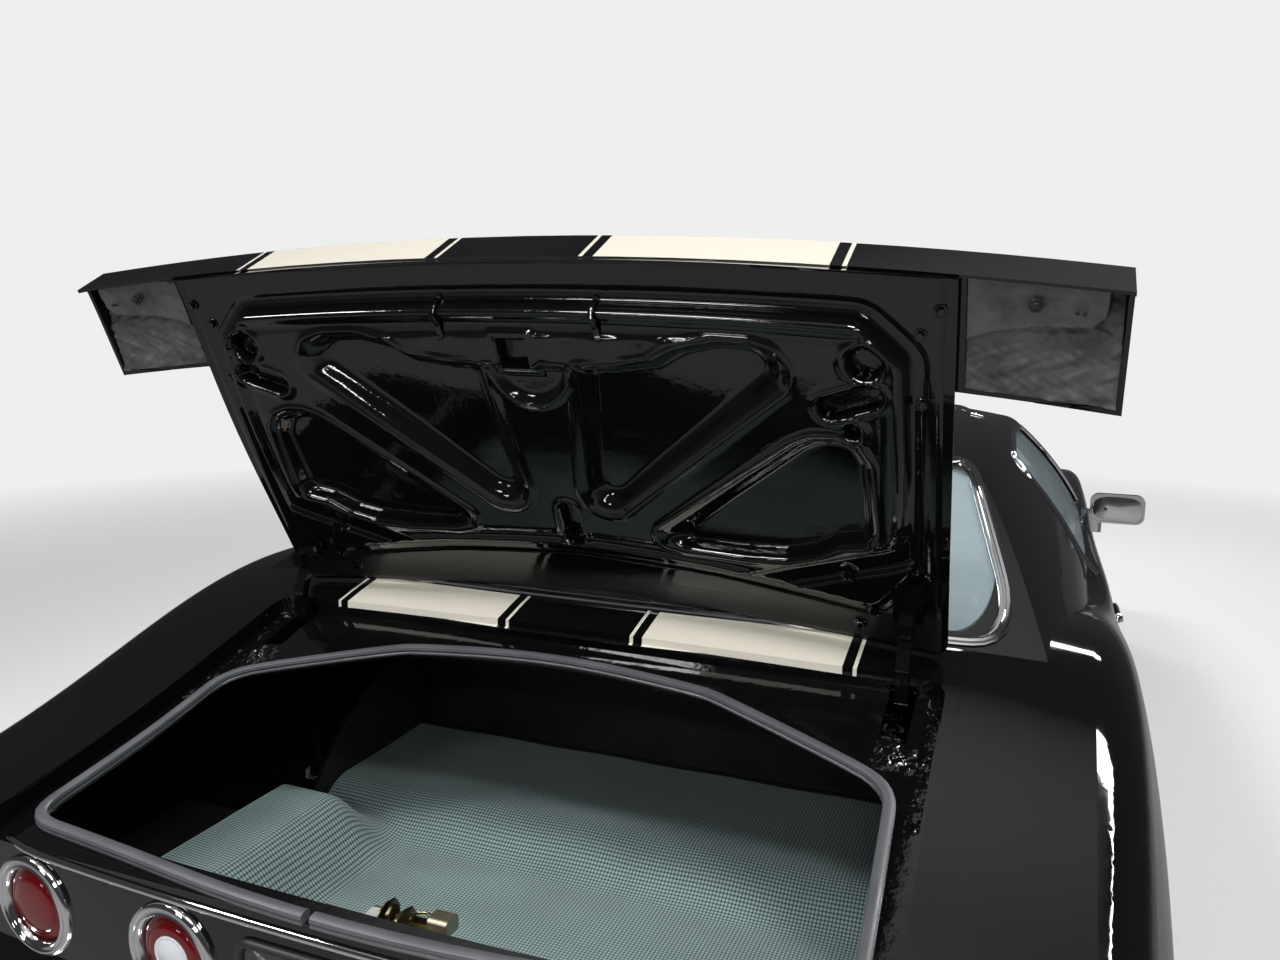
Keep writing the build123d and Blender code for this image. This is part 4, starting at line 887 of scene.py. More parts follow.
# bright mouldings round the glass
mouldingLook = {
    "rear": {"lowX": 0.708, "lowZ": 1.000, "bowZ": 1.016, "highX": 0.590, "highZ": 1.208, "corner": 0.055,
             "width": 0.026, "height": 0.010},
    "front": {"lowX": 0.768, "lowZ": 0.928, "bowZ": 0.972, "highX": 0.565, "highZ": 1.228, "corner": 0.055,
              "width": 0.022, "height": 0.009},
}
roofSkin = surfaceOf("roof_panel", "quarter_left", "quarter_right", "deck_filler", "cowl_panel",
                     "fender_left", "fender_right")
roundedCap = [(-0.5, -0.3), (-0.5, 0.3), (-0.36, 0.72), (-0.14, 0.94), (0.14, 0.94), (0.36, 0.72),
              (0.5, 0.3), (0.5, -0.3)]
ridgedSection = [(-0.5, -0.25), (-0.5, 0.25), (-0.42, 0.55), (-0.28, 0.62), (-0.2, 0.42), (-0.12, 0.42),
                 (-0.02, 0.8), (0.16, 0.92), (0.32, 0.72), (0.38, 0.4), (0.5, 0.25), (0.5, -0.25)]


def screenLine(look, outward, fromY, way):
    # outward moves the line from the opening's edge onto the sheet round it
    steps = [((x / 12) * 2 - 1) for x in range(13)]
    corners = [(look["lowX"] * t, look["lowZ"] + (look["bowZ"] - look["lowZ"]) * (1 - t * t)) for t in steps]
    corners += [(look["highX"], look["highZ"]), (-look["highX"], look["highZ"])]
    bends = [look["corner"]] + [0.4] * 11 + [look["corner"]] * 3
    centre, spots, ups = Vector((0, 1.1, 0)), [], []
    for p in growOutline(roundCorners(corners, bends, 0.014), outward):
        for further in (0, 0.004, 0.008, 0.014):
            spot = p + (p - centre).normalized() * further
            hit, out = castOn(roofSkin, (spot.x, fromY, spot.y), (0, way, 0))
            if hit and abs(hit.y - fromY) < 2.6:
                break
        if hit:
            spots.append(hit)
            ups.append(out)
    return spots, ups


def screenMouldings():
    for name, fromY, way in (("rear", -3.0, 1), ("front", 3.0, -1)):
        look = mouldingLook[name]
        spots, ups = screenLine(look, 0.006, fromY, way)
        spots, ups = smoothRun(spots, 3), smoothRun(ups, 6)
        section = [(a * look["width"], h * look["height"]) for a, h in ridgedSection]
        addShapes(name + "ScreenMoulding", [sweptShape(spots, ups, section, closed=True)], "chrome", sharp=35)


screenMouldings()
print("lamps and mouldings fitted")

# inner walls of the rear wheelhouses, seen from the boot
tubLook = {"x": 0.6115, "axle": (-1.316, 0.335), "radius": 0.392, "low": 0.482, "dome": (0.016, 0.014),
           "ring": (0.30, 0.004, 0.012), "clear": 0.0006, "grid": (26, 40)}


def tubWall(side):
    look, points = tubLook, []
    rows, columns = look["grid"]
    (axleY, axleZ), (dome, domeInset), (ring, ringRise, ringWidth) = look["axle"], look["dome"], look["ring"]
    for row in range(rows):
        z = look["low"] + (axleZ + look["radius"] - look["clear"] - look["low"]) * row / (rows - 1)
        half = sqrt(max(1e-8, look["radius"] ** 2 - (z - axleZ) ** 2))
        for column in range(columns):
            y = half * (2 * column / (columns - 1) - 1)
            r = hypot(y, z - axleZ)
            rise = dome * max(0.0, 1 - (r / (look["radius"] - domeInset)) ** 4)
            rise += ringRise * exp(-((r - ring) / ringWidth) ** 2)
            points.append((side * (look["x"] - rise), axleY + y, z))
    return points, gridFaces(rows, columns)


addShapes("wheelhouseWalls", [tubWall(1), tubWall(-1)], "underbody")

# a small retaining clip at the mat's front left corner
clipLook = {"place": (-0.578, -1.712, 0.6), "foot": 0.016, "rise": 0.017, "width": 0.013, "sheet": 0.0014}


def matClip():
    look = clipLook
    x, y, base = look["place"]
    line = [Vector((x + look["foot"] * (1 - t), y, base + 0.003)) for t in (0, 0.5, 0.85)]
    line += [Vector((x, y, base + 0.004 + look["rise"] * t)) for t in (0.1, 0.5, 1.0)]
    line += [Vector((x + 0.004, y, base + 0.006 + look["rise"]))]
    ups = [Vector((0, 0, 1))] * 3 + [Vector((1, 0, 0))] * 3 + [Vector((0.6, 0, -0.8))]
    section = roundSection(look["width"], look["sheet"], 10, 4.0)
    return sweptShape(line, ups, section, closed=False)


addPiece("bootMatClip", *matClip(), looks["zinc"], "car", "zinc")

# boot latch: plated bracket, two cheeks, hooked rotor on its pivot, a rod and its end block
latchLook = {"shift": (0.0, 0.022, 0.013), "brass": (0.20, 0.17, 0.10), "pale": (0.42, 0.42, 0.40)}


def platedShape(outline, fromX, toX):
    # an outline in y and z, given thickness along x, with its edges eased
    line = [(p.x, p.y) for p in roundCorners(outline, 0.004, 0.0025)]
    size, inset = len(line), 0.0006
    middle = [sum(values) / size for values in zip(*line)]
    points = []
    for x, scale in ((fromX, 0.95), (fromX + inset, 1), (toX - inset, 1), (toX, 0.95)):
        points += [Vector((x, *(m + (value - m) * scale for m, value in zip(middle, spot)))) for spot in line]
    return points, ringFaces(4, size) + endFaces(4, size)


def bootLatch():
    zinc, dark = [], []
    cheek = [(-2.318, 0.726), (-2.318, 0.742), (-2.300, 0.760), (-2.284, 0.7635), (-2.266, 0.760),
             (-2.256, 0.744), (-2.262, 0.726)]
    zinc.append(platedShape(cheek, -0.0030, 0.0002))
    zinc.append(platedShape([(y, z - 0.006) for y, z in cheek], 0.0220, 0.0250))
    rotor = [(-2.304, 0.738), (-2.300, 0.757), (-2.289, 0.7632), (-2.276, 0.759), (-2.271, 0.748),
             (-2.280, 0.750), (-2.288, 0.749), (-2.286, 0.738)]
    zinc.append(platedShape(rotor, 0.0062, 0.0112))
    lever = [(-2.300, 0.730), (-2.294, 0.748), (-2.280, 0.752), (-2.262, 0.744), (-2.258, 0.733),
             (-2.276, 0.728)]
    zinc.append(platedShape(lever, 0.0140, 0.0180))
    for y, z in ((-2.292, 0.741), (-2.270, 0.737)):
        rivet = [(0, 0), (0, 0.0045), (0.0012, 0.0058), (0.0026, 0.0058), (0.0026, 0.0034), (0.0300, 0.0034),
                 (0.0300, 0.0058), (0.0322, 0.0055), (0.0330, 0)]
        zinc.append(turnedShape((-0.0055, y, z), (1, 0, 0), rivet, 20))
    # base with a turned-up front flange
    base = [Vector((-0.036, -2.300, 0.7285)), Vector((0.080, -2.300, 0.7285))]
    plate = [(0.072, 0), (-0.033, 0), (-0.037, 0.0005), (-0.0385, 0.010), (-0.036, 0.010), (-0.034, 0.0032),
             (-0.030, 0.0025), (0.072, 0.0025)]
    zinc.append(sweptShape(base, [Vector((0, 0, 1))] * 2, plate, closed=False))
    for x, y in ((-0.024, -2.292), (0.050, -2.310)):
        zinc.append(turnedShape((x, y, 0.7305), (0, 0, 1),
                                [(0, 0.009), (0.0014, 0.009), (0.002, 0.008), (0.002, 0)], 24))
        zinc.append(turnedShape((x, y, 0.732), (0, 0, 1),
                                [(0, 0.0055), (0.005, 0.0055), (0.0058, 0.0046), (0.0058, 0)], 6))
    rod = roundCorners([Vector((0.016, -2.262, 0.739)), Vector((0.040, -2.258, 0.744)),
                        Vector((0.058, -2.268, 0.742))], 0.008, 0.003, closed=False)
    zinc.append(sweptShape(rod, [Vector((0, 0, 1))] * len(rod), roundSection(0.0042, 0.0042, 10, 2),
                           closed=False))
    block = [(-2.284, 0.7310), (-2.284, 0.7490), (-2.279, 0.7530), (-2.258, 0.7530), (-2.253, 0.7480),
             (-2.253, 0.7310)]
    dark.append(platedShape(block, 0.0560, 0.0840))
    dark.append(turnedShape((0.0560, -2.268, 0.742), (-1, 0, 0),
                            [(0, 0.007), (0.0035, 0.007), (0.0042, 0.0055), (0.0042, 0.0028)], 20))
    pad, padSize = [], 15
    for row in range(padSize):
        for column in range(padSize):
            u, v = column / (padSize - 1) * 2 - 1, row / (padSize - 1) * 2 - 1
            fade = (1 - u ** 6) * (1 - v ** 6)
            z = 0.7335 + 0.0085 * fade ** 0.6 + 0.0008 * sin(u * 31 + v * 17) * fade
            pad.append((-0.0215 + u * 0.0165, -2.282 + v * 0.018, z))
    shift = Vector(latchLook["shift"])
    (zinc, zincFaces), (dark, darkFaces) = joinShapes(zinc), joinShapes(dark)
    zinc, dark, pad = ([Vector(p) + shift for p in points] for points in (zinc, dark, pad))
    brass = makePlain("latchBrass", latchLook["brass"], 0.32, metal=1.0, grain=180.0, bump=0.25, tint=0.5)
    latch = addPiece("bootLatchWork", zinc, zincFaces, brass, "car", "zinc", sharp=35)
    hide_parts("boot_latch")
    addPiece("bootLatchBlock", dark, darkFaces, looks["zinc"], "car", "zinc", sharp=35)
    felt = makePlain("latchPad", latchLook["pale"], 0.9, grain=900.0, bump=0.8, depth=0.001)
    addPiece("bootLatchPad", pad, gridFaces(padSize, padSize), felt, "car", "zinc", sharp=0)


bootLatch()

# tail panel: bright moulding along its top, blank plate in a dark surround
tailTrimLook = {"z": 0.7725, "halfWidth": 0.690, "width": 0.011, "height": 0.0065,
                "plate": (0.152, 0.076, 0.668)}


def tailTrim():
    look = tailTrimLook
    path, ups = [], []
    for step in range(81):
        x = look["halfWidth"] * (2 * step / 80 - 1)
        hit, out = castOn(tailFace, (x, -3, look["z"]), (0, 1, 0))
        if hit:
            path.append(hit)
            ups.append(out)
    path, ups = smoothRun(path, 4, closed=False), smoothRun(ups, 8, closed=False)
    section = [(a * look["width"], h * look["height"]) for a, h in roundedCap]
    addShapes("tailPanelMoulding", [sweptShape(path, ups, section, closed=False)], "chrome", sharp=50)
    halfX, halfZ, z = look["plate"]
    outline = boxOutline(-halfX, -halfZ, halfX, halfZ, 0.018, 0.008)
    ring, ringUps = zip(*[castOn(tailFace, (p.x, -3, z + p.y), (0, 1, 0)) for p in outline])
    surround = [(a * 0.012, h * 0.009) for a, h in roundedCap]
    addShapes("plateSurround", [sweptShape(ring, ringUps, surround, closed=True)], "black_trim", sharp=50)
    count, points = len(ring), []
    out = sum(ringUps, Vector()).normalized()
    centre = sum(ring, Vector()) / count
    for scale, lift in ((0.965, 0.0005), (0.955, 0.0028), (0.945, 0.0034), (0.905, 0.0034), (0.895, 0.0022),
                        (0.0, 0.0022)):
        if scale == 0.0:
            points.append(centre + out * lift)
        else:
            points += [centre + (p - centre) * scale + out * lift for p in ring]
    faces = ringFaces(5, count) + fanFaces(5, count)
    blank = makePlain("plateBlank", (0.03, 0.03, 0.032), 0.35, coat=0.3)
    addPiece("blankPlate", points, faces, blank, "car", "black_trim")


print("boot latch and wheelhouse walls fitted")

# side window mouldings, door handles and mirrors
sideTrimLook = {"corner": 0.02, "width": 0.014, "height": 0.007, "sill": 0.905,
                "window": [(0.520, 0.886), (0.075, 1.193), (-0.350, 1.208), (-0.677, 1.185), (-0.677, 0.886)]}
sideSkin = surfaceOf("roof_panel", "door_right", "quarter_right", "fender_right")


def sideSpot(y, z, skin=sideSkin):
    return castOn(skin, (1.3, y, z), (-1, 0, 0))


def mirrorShape(shape):
    points, faces = shape
    return [Vector((-p[0], p[1], p[2])) for p in points], [tuple(reversed(face)) for face in faces]


def sideTrim():
    look = sideTrimLook
    spots, ups = [], []
    for p in roundCorners(look["window"], look["corner"], 0.02):
        hit, out = sideSpot(p.x, p.y)
        if hit and p.y > look["sill"]:
            spots.append(hit)
            ups.append(out)
    start = max(range(len(spots)), key=lambda i: (spots[i] - spots[i - 1]).length)
    spots, ups = spots[start:] + spots[:start], ups[start:] + ups[:start]
    spots, ups = smoothRun(spots, 3, closed=False), smoothRun(ups, 5, closed=False)
    section = [(a * look["width"], h * look["height"]) for a, h in roundedCap]
    trim = sweptShape(spots, ups, section, closed=False)
    addShapes("sideWindowTrim", [trim, mirrorShape(trim)], "chrome", sharp=50)


sideTrim()
tailTrim()

doorHandleLook = {"y": -0.545, "z": 0.800, "length": 0.150, "height": 0.026, "stand": 0.013}


def doorHandle():
    look = doorHandleLook
    hits = [sideSpot(look["y"] + dy, look["z"]) for dy in (-0.075, 0, 0.075)]
    centre, out = hits[1]
    along = (hits[2][0] - hits[0][0]).normalized()
    rise = out.cross(along).normalized()
    rise = rise if rise.z > 0 else -rise
    # a flush paddle that swells at its middle
    points, rings, steps = [], 23, 20
    for ring in range(rings):
        t = ring / (rings - 1) * 2 - 1
        size = max(0.02, (1 - abs(t) ** 3.2) ** 0.42 if abs(t) < 1 else 0)
        for step in range(steps):
            angle = 2 * pi * step / steps
            high = cos(angle) * look["height"] / 2 * size
            deep = look["stand"] * size * (0.5 + 0.5 * sin(angle))
            points.append(centre + along * (t * look["length"] / 2) + rise * high + out * (0.001 + deep))
    paddle = (points, ringFaces(rings, steps) + endFaces(rings, steps))
    lock = [(-0.01, 0.011), (0.002, 0.011), (0.004, 0.009), (0.004, 0.0055), (0.0025, 0.005), (0.0025, 0)]
    return joinShapes([paddle, turnedShape(centre + along * -0.048 + out * 0.012, out, lock, 28)])


rightHandle = doorHandle()
addShapes("doorHandleRight", [rightHandle], "chrome", "door_right", sharp=50)
addShapes("doorHandleLeft", [mirrorShape(rightHandle)], "chrome", "door_left", sharp=50)

mirrorGlassLook = {"centre": (0.958, 0.2235, 0.932), "width": 0.138, "height": 0.074, "power": 3.2,
                   "dome": 0.0022}


def mirrorGlass(side):
    look = mirrorGlassLook
    x, y, z = look["centre"]
    faces, rings, steps = [], 8, 48
    edge = roundSection(look["width"], look["height"], steps, look["power"])
    points = [Vector((x * side, y - look["dome"], z))]
    for ring in range(1, rings + 1):
        t = ring / rings
        faceY = y - look["dome"] * (1 - t * t)
        points += [Vector(((x + dx * t) * side, faceY, z + dz * t)) for dx, dz in edge]
    for step in range(steps):
        after = (step + 1) % steps
        faces.append((0, 1 + step, 1 + after))
        for ring in range(rings - 1):
            base, upper = 1 + ring * steps, 1 + (ring + 1) * steps
            faces.append((base + step, upper + step, upper + after, base + after))
    name = "Right" if side > 0 else "Left"
    addPiece("mirrorGlass" + name, points, faces, looks["mirror_glass"], "door_" + name.lower(), "chrome")


for side in (1, -1):
    mirrorGlass(side)
print("side trim, handles and mirrors fitted")

# front lamps: bright rim, fluted lens over a bowl, bulb shield
frontLampLook = {
    "lamps": ((0.640, 0.600, 0.0945, 2.2765), (0.425, 0.600, 0.0515, 2.3245)),
    "rim": [(-0.050, 0.0015), (-0.046, 0.0005), (-0.005, 0.0005), (-0.001, 0.003), (-0.001, 0.006),
            (-0.006, 0.011), (-0.012, 0.0125), (-0.024, 0.0135), (-0.024, 0.016), (-0.050, 0.016)],
    "bowlEdge": [(-0.022, 0.0150), (-0.034, 0.0175)],
    "bowlMiddle": [(-0.050, 0.62), (-0.060, 0.34), (-0.061, 0.18), (-0.050, 0.17), (-0.034, 0.155),
                   (-0.031, 0.10), (-0.030, 0)],
    "domeEdge": [(-0.0235, 0.0137), (-0.0165, 0.0140), (-0.0120, 0.019)],
    "domeMiddle": [(-0.0075, 0.62), (-0.0045, 0.32), (-0.0035, 0)],
}


def makeFluted(name, colour):
    mat, tree, shader, coords = startMaterial(name, colour, 0.05)
    shader.inputs["Alpha"].default_value = 0.42
    shader.inputs["Coat Weight"].default_value = 0.6
    split = addSplit(tree, coords)
    ribs = addMath(tree, "SINE", addMath(tree, "MULTIPLY", split[0], 620.0))
    steps = addMath(tree, "SINE", addMath(tree, "MULTIPLY", split[2], 230.0))
    addBump(tree, shader, addMath(tree, "ADD", ribs, addMath(tree, "MULTIPLY", steps, 1.5)), 0.5, 0.0012)
    cloud = addNoise(tree, coords, 12.0, 3.0)
    tree.links.new(addMix(tree, cloud, tuple(c * 0.9 for c in colour), colour), shader.inputs["Base Color"])
    return mat


def frontLamps():
    look, rims, bowls, lenses, ambers = frontLampLook, [], [], [], []
    for x, z, r, y in look["lamps"]:
        for side in (1, -1):
            centre = (x * side, y, z)
            bowl = inwards(r, look["bowlEdge"]) + [(along, r * part) for along, part in look["bowlMiddle"]]
            dome = inwards(r, look["domeEdge"]) + [(along, r * part) for along, part in look["domeMiddle"]]
            rims.append(turnedShape(centre, (0, 1, 0), inwards(r, look["rim"]), 72))
            bowls.append(turnedShape(centre, (0, 1, 0), bowl, 60))
            (lenses if r > 0.07 else ambers).append(turnedShape(centre, (0, 1, 0), dome, 72))
    rim = addShapes("frontLampRims", rims, "chrome", sharp=40)
    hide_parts("front_lamps")
    addShapes("frontLampBowls", bowls, "chrome", sharp=50)
    addPiece("headLampLenses", *joinShapes(lenses), makeFluted("headLampGlass", (0.80, 0.84, 0.86)), "car",
             "lamp_clear", sharp=50)
    addPiece("turnLampLenses", *joinShapes(ambers), makeFluted("turnLampGlass", (0.85, 0.34, 0.04)), "car",
             "lamp_clear", sharp=50)


frontLamps()

# side marker lamps, wipers, exhaust tips
markerLook = {"front": (1.965, 0.470), "rear": (-2.045, 0.520), "length": 0.110, "height": 0.030,
              "stand": 0.0065}


def markerShape(side, y, z, grow, low, high):
    # a rounded pad lying on the side of the body
    points, halfY, halfZ = [], markerLook["length"] / 2, markerLook["height"] / 2
    skin = surfaceOf("fender_right" if y > 0 else "quarter_right")
    outline = boxOutline(-halfY, -halfZ, halfY, halfZ, 0.011, 0.005)
    steps = ((1, low), (1, high * 0.6), (0.95, high * 0.9), (0.86, high), (0.45, high * 1.06),
             (0, high * 1.1))
    for scale, lift in steps:
        for p in outline if scale else [Vector()]:
            spotY, spotZ = (value * scale + (grow if value > 0 else -grow) * scale for value in (p.x, p.y))
            hit, out = sideSpot(y + spotY, z + spotZ, skin)
            hit = hit + out * lift
            points.append(Vector((hit.x * side, hit.y, hit.z)))
    return points, ringFaces(5, len(outline)) + fanFaces(5, len(outline))


amber = makeGlass("markerAmber", (0.75, 0.22, 0.02), 0.08, 1.0)
for name, look in (("front", amber), ("rear", looks["lamp_red"])):
    y, z = markerLook[name]
    rims = [markerShape(side, y, z, 0.004, -0.002, 0.003) for side in (1, -1)]
    lenses = [markerShape(side, y, z, -0.002, 0.001, markerLook["stand"]) for side in (1, -1)]
    addShapes(name + "MarkerRims", rims, "chrome")
    addPiece(name + "Markers", *joinShapes(lenses), look, "car", "lamp_red")

wiperLook = {
    "blades": ((-0.58, -0.13), (0.02, 0.47)), "glassZ": 1.000, "pivotY": 0.660, "stand": 0.009,
    "section": [(-0.0035, 0.004), (-0.0035, 0.0), (-0.001, -0.001), (-0.0007, -0.0085), (0.0007, -0.0085),
                (0.001, -0.001), (0.0035, 0.0), (0.0035, 0.004)],
    "pivot": [(0, 0.011), (0.016, 0.010), (0.024, 0.0095), (0.028, 0.007), (0.0285, 0)],
}
screenSkin, cowlSkin = surfaceOf("screens", "cowl_panel"), surfaceOf("cowl_panel", "bonnet")


def wipers():
    look, shapes = wiperLook, []
    for left, right in look["blades"]:
        blade, ups = [], []
        for step in range(25):
            x = left + (right - left) * step / 24
            z = look["glassZ"] - 0.016 * (x / 0.6) ** 2 + 0.012 * (step / 24)
            hit, out = castOn(screenSkin, (x, 1.6, z), (0, -1, 0))
            blade.append(hit + out * look["stand"])
            ups.append(out)
        blade, ups = smoothRun(blade, 3, closed=False), smoothRun(ups, 3, closed=False)
        shapes.append(sweptShape(blade, ups, look["section"], closed=False))
        middle = blade[12] + ups[12] * 0.004
        pivotX = right - 0.03
        pivot = dropOn(cowlSkin, pivotX, look["pivotY"]) + Vector((0, 0, 0.016))
        bridge = blade[7:18]
        lift = [p + u * (0.004 + 0.008 * (1 - (2 * i / 10 - 1) ** 2))
                for i, (p, u) in enumerate(zip(bridge, ups[7:18]))]
        shapes.append(sweptShape(lift, ups[7:18], roundSection(0.007, 0.003), closed=False))
        elbow = middle + ups[12] * 0.016 + Vector((0.05, 0.004, -0.004))
        arm = [pivot, pivot + Vector((-0.03, 0.0, 0.012)), elbow, middle + ups[12] * 0.008]
        arm = roundCorners(arm, 0.03, 0.012, closed=False)
        shapes.append(sweptShape(arm, [Vector((0, 0.3, 1))] * len(arm), roundSection(0.009, 0.0045),
                                 closed=False))
        shapes.append(turnedShape(pivot + Vector((0, 0, -0.022)), (0, 0, 1), look["pivot"], 24))
    addShapes("wipers", shapes, "black_trim", sharp=45)


wipers()

# along the pipe, and inwards from its radius
tipProfile = [(0.110, -0.0002), (0.109, -0.0032), (0.002, -0.0036), (-0.0025, -0.0024), (-0.0025, 0.001),
              (0.002, 0.003), (0.080, 0.0035)]


def exhaustTips():
    spots = [v.co for v in nodes["exhaust"].data.vertices]
    rear = min(p.y for p in spots)
    shapes = []
    for side in (1, -1):
        end = [p for p in spots if p.y < rear + 0.002 and p.x * side > 0]
        centre = Vector((sum(p.x for p in end) / len(end), rear,
                         (min(p.z for p in end) + max(p.z for p in end)) / 2))
        radius = (max(p.z for p in end) - min(p.z for p in end)) / 2
        shapes.append(turnedShape(centre, (0, 1, 0), inwards(radius, tipProfile), 48))
    addPiece("exhaustTips", *joinShapes(shapes), looks["chrome"], "car", "exhaust_steel", sharp=50)


exhaustTips()
print("front lamps, markers, wipers and exhaust tips fitted")

# dashboard dials, radio, glove box, shift lever
dashSkin, tunnelSkin = surfaceOf("dashboard"), surfaceOf("floor_pan")
dashLook = {"dials": ((-0.470, 0.826, 0.0235), (-0.310, 0.826, 0.0235), (-0.390, 0.829, 0.0145),
                      (-0.545, 0.829, 0.0125), (-0.235, 0.829, 0.0125)),
            "vents": ((-0.625, 0.826), (0.625, 0.826), (0.175, 0.826)), "knobs": (-0.055, 0.055, -0.02, 0.02),
            "rim": [(-0.003, -0.003), (0.003, -0.003), (0.0045, -0.0018), (0.0045, -0.0006), (0.001, 0)],
            "doors": ((0.245, 0.545, 0.806, 0.846), (-0.085, 0.085, 0.804, 0.847)),
            "shiftKnob": [(-0.022, 0.008), (-0.016, 0.015), (-0.006, 0.0205), (0.004, 0.0215), (0.013, 0.018),
                          (0.019, 0.010), (0.0205, 0)],
            "boot": [(-0.003, 0.062), (0.006, 0.060), (0.014, 0.046), (0.030, 0.026), (0.048, 0.017),
                     (0.052, 0.010), (0.052, 0.004)]}


def dashSpot(x, z):
    return castOn(dashSkin, (x, -0.2, z), (0, 1, 0))


def makeDial():
    mat, tree, shader, coords = startMaterial("dialFace", (0.01, 0.01, 0.011), 0.35)
    speck = addNoise(tree, coords, 800.0, 2.0)
    share = addRange(tree, speck, 0.62, 0.66, 0.0, 1.0)
    colour = addMix(tree, share, (0.008, 0.008, 0.009), (0.05, 0.05, 0.05))
    tree.links.new(colour, shader.inputs["Base Color"])
    return mat


def dashTrim():
    rims, faces, marks, knobs = [], [], [], []
    for x, z, r in dashLook["dials"]:
        hit, out = dashSpot(x, z)
        rims.append(turnedShape(hit, out, inwards(r, dashLook["rim"]), 48))
        faces.append(turnedShape(hit, out, [(-0.002, r + 0.001), (0.0012, r + 0.0006), (0.0012, 0)], 48))
        up = (Vector((0, 0, 1)) - out * out.z).normalized()
        side = out.cross(up)
        for tick in range(13):
            angle = radians(-135 + 270 * tick / 12)
            way = up * cos(angle) + side * sin(angle)
            base = hit + out * 0.0014
            tickEnds = [base + way * r * 0.80, base + way * r * 0.92]
            marks.append(sweptShape(tickEnds, [out, out], roundSection(0.0011, 0.0006, 6), closed=False))
        way = up * cos(radians(-70)) + side * sin(radians(-70))
        needle = [hit + out * 0.002 - way * r * 0.12, hit + out * 0.002 + way * r * 0.72]
        marks.append(sweptShape(needle, [out, out], roundSection(0.0016, 0.0008, 6), closed=False))
        marks.append(turnedShape(hit, out, [(0.0012, r * 0.11), (0.003, r * 0.10), (0.0032, 0)], 16))
    for x in dashLook["knobs"]:
        hit, out = dashSpot(x, 0.812 if abs(x) > 0.03 else 0.835)
        knobs.append(turnedShape(hit, out, [(-0.002, 0.0075), (0.004, 0.0072), (0.012, 0.0064),
                                            (0.0135, 0.005), (0.0135, 0)], 24))
    hit, out = dashSpot(0.39, 0.806)
    knobs.append(turnedShape(hit, out, [(-0.002, 0.009), (0.006, 0.0085), (0.008, 0.006), (0.008, 0)], 24))
    for x, z in dashLook["vents"]:
        for step in range(4):
            spot, out = dashSpot(x, z - 0.012 + 0.008 * step)
            louvre = [spot + Vector((end, 0, 0)) + out * 0.002 for end in (-0.034, 0.034)]
            knobs.append(sweptShape(louvre, [out, out], roundSection(0.003, 0.005, 8), closed=False))
    for low, high, zLow, zHigh in dashLook["doors"]:
        path, ups = [], []
        for p in boxOutline(low, zLow, high, zHigh, 0.006, 0.006):
            spot, out = dashSpot(p.x, p.y)
            path.append(spot + out * 0.0004)
            ups.append(out)
        rims.append(sweptShape(path, ups, roundSection(0.0028, 0.003, 8), closed=True))
    hit = dropOn(tunnelSkin, 0.0, 0.20, 0.9)
    lever = [hit + Vector(step) for step in ((0, 0, 0.002), (0, -0.01, 0.09), (0, -0.055, 0.19))]
    lever = roundCorners(lever, 0.05, 0.008, closed=False)
    rims.append(sweptShape(lever, [Vector((0, 1, 0))] * len(lever), roundSection(0.011, 0.011, 12, 2),
                           closed=False))
    tip = hit + Vector((0, -0.058, 0.200))
    knobs.append(turnedShape(tip, (0, -0.28, 1), dashLook["shiftKnob"], 32))
    knobs.append(turnedShape(hit, (0, 0, 1), dashLook["boot"], 32))
    addShapes("dashRims", rims, "chrome", sharp=45)
    addPiece("dialFaces", *joinShapes(faces), makeDial(), "car", "cabin_trim")
    addPiece("dialMarks", *joinShapes(marks), makePlain("dialMark", (0.7, 0.7, 0.66), 0.5), "car",
             "cabin_trim")
    addShapes("dashKnobs", knobs, "black_trim", sharp=45)


dashTrim()
print("dashboard dressed")

# engine dressing, seen with the bonnet open: air cleaner lid and band, ribbed valve covers, plug leads
engineSkin = surfaceOf("engine_block")
engineLook = {"cleaner": (0.0, 1.20, 0.165), "ribs": (0.178, 0.011, 5), "coverY": (0.925, 1.435),
              "plugs": (0.20, 0.07, 0.123, 4)}


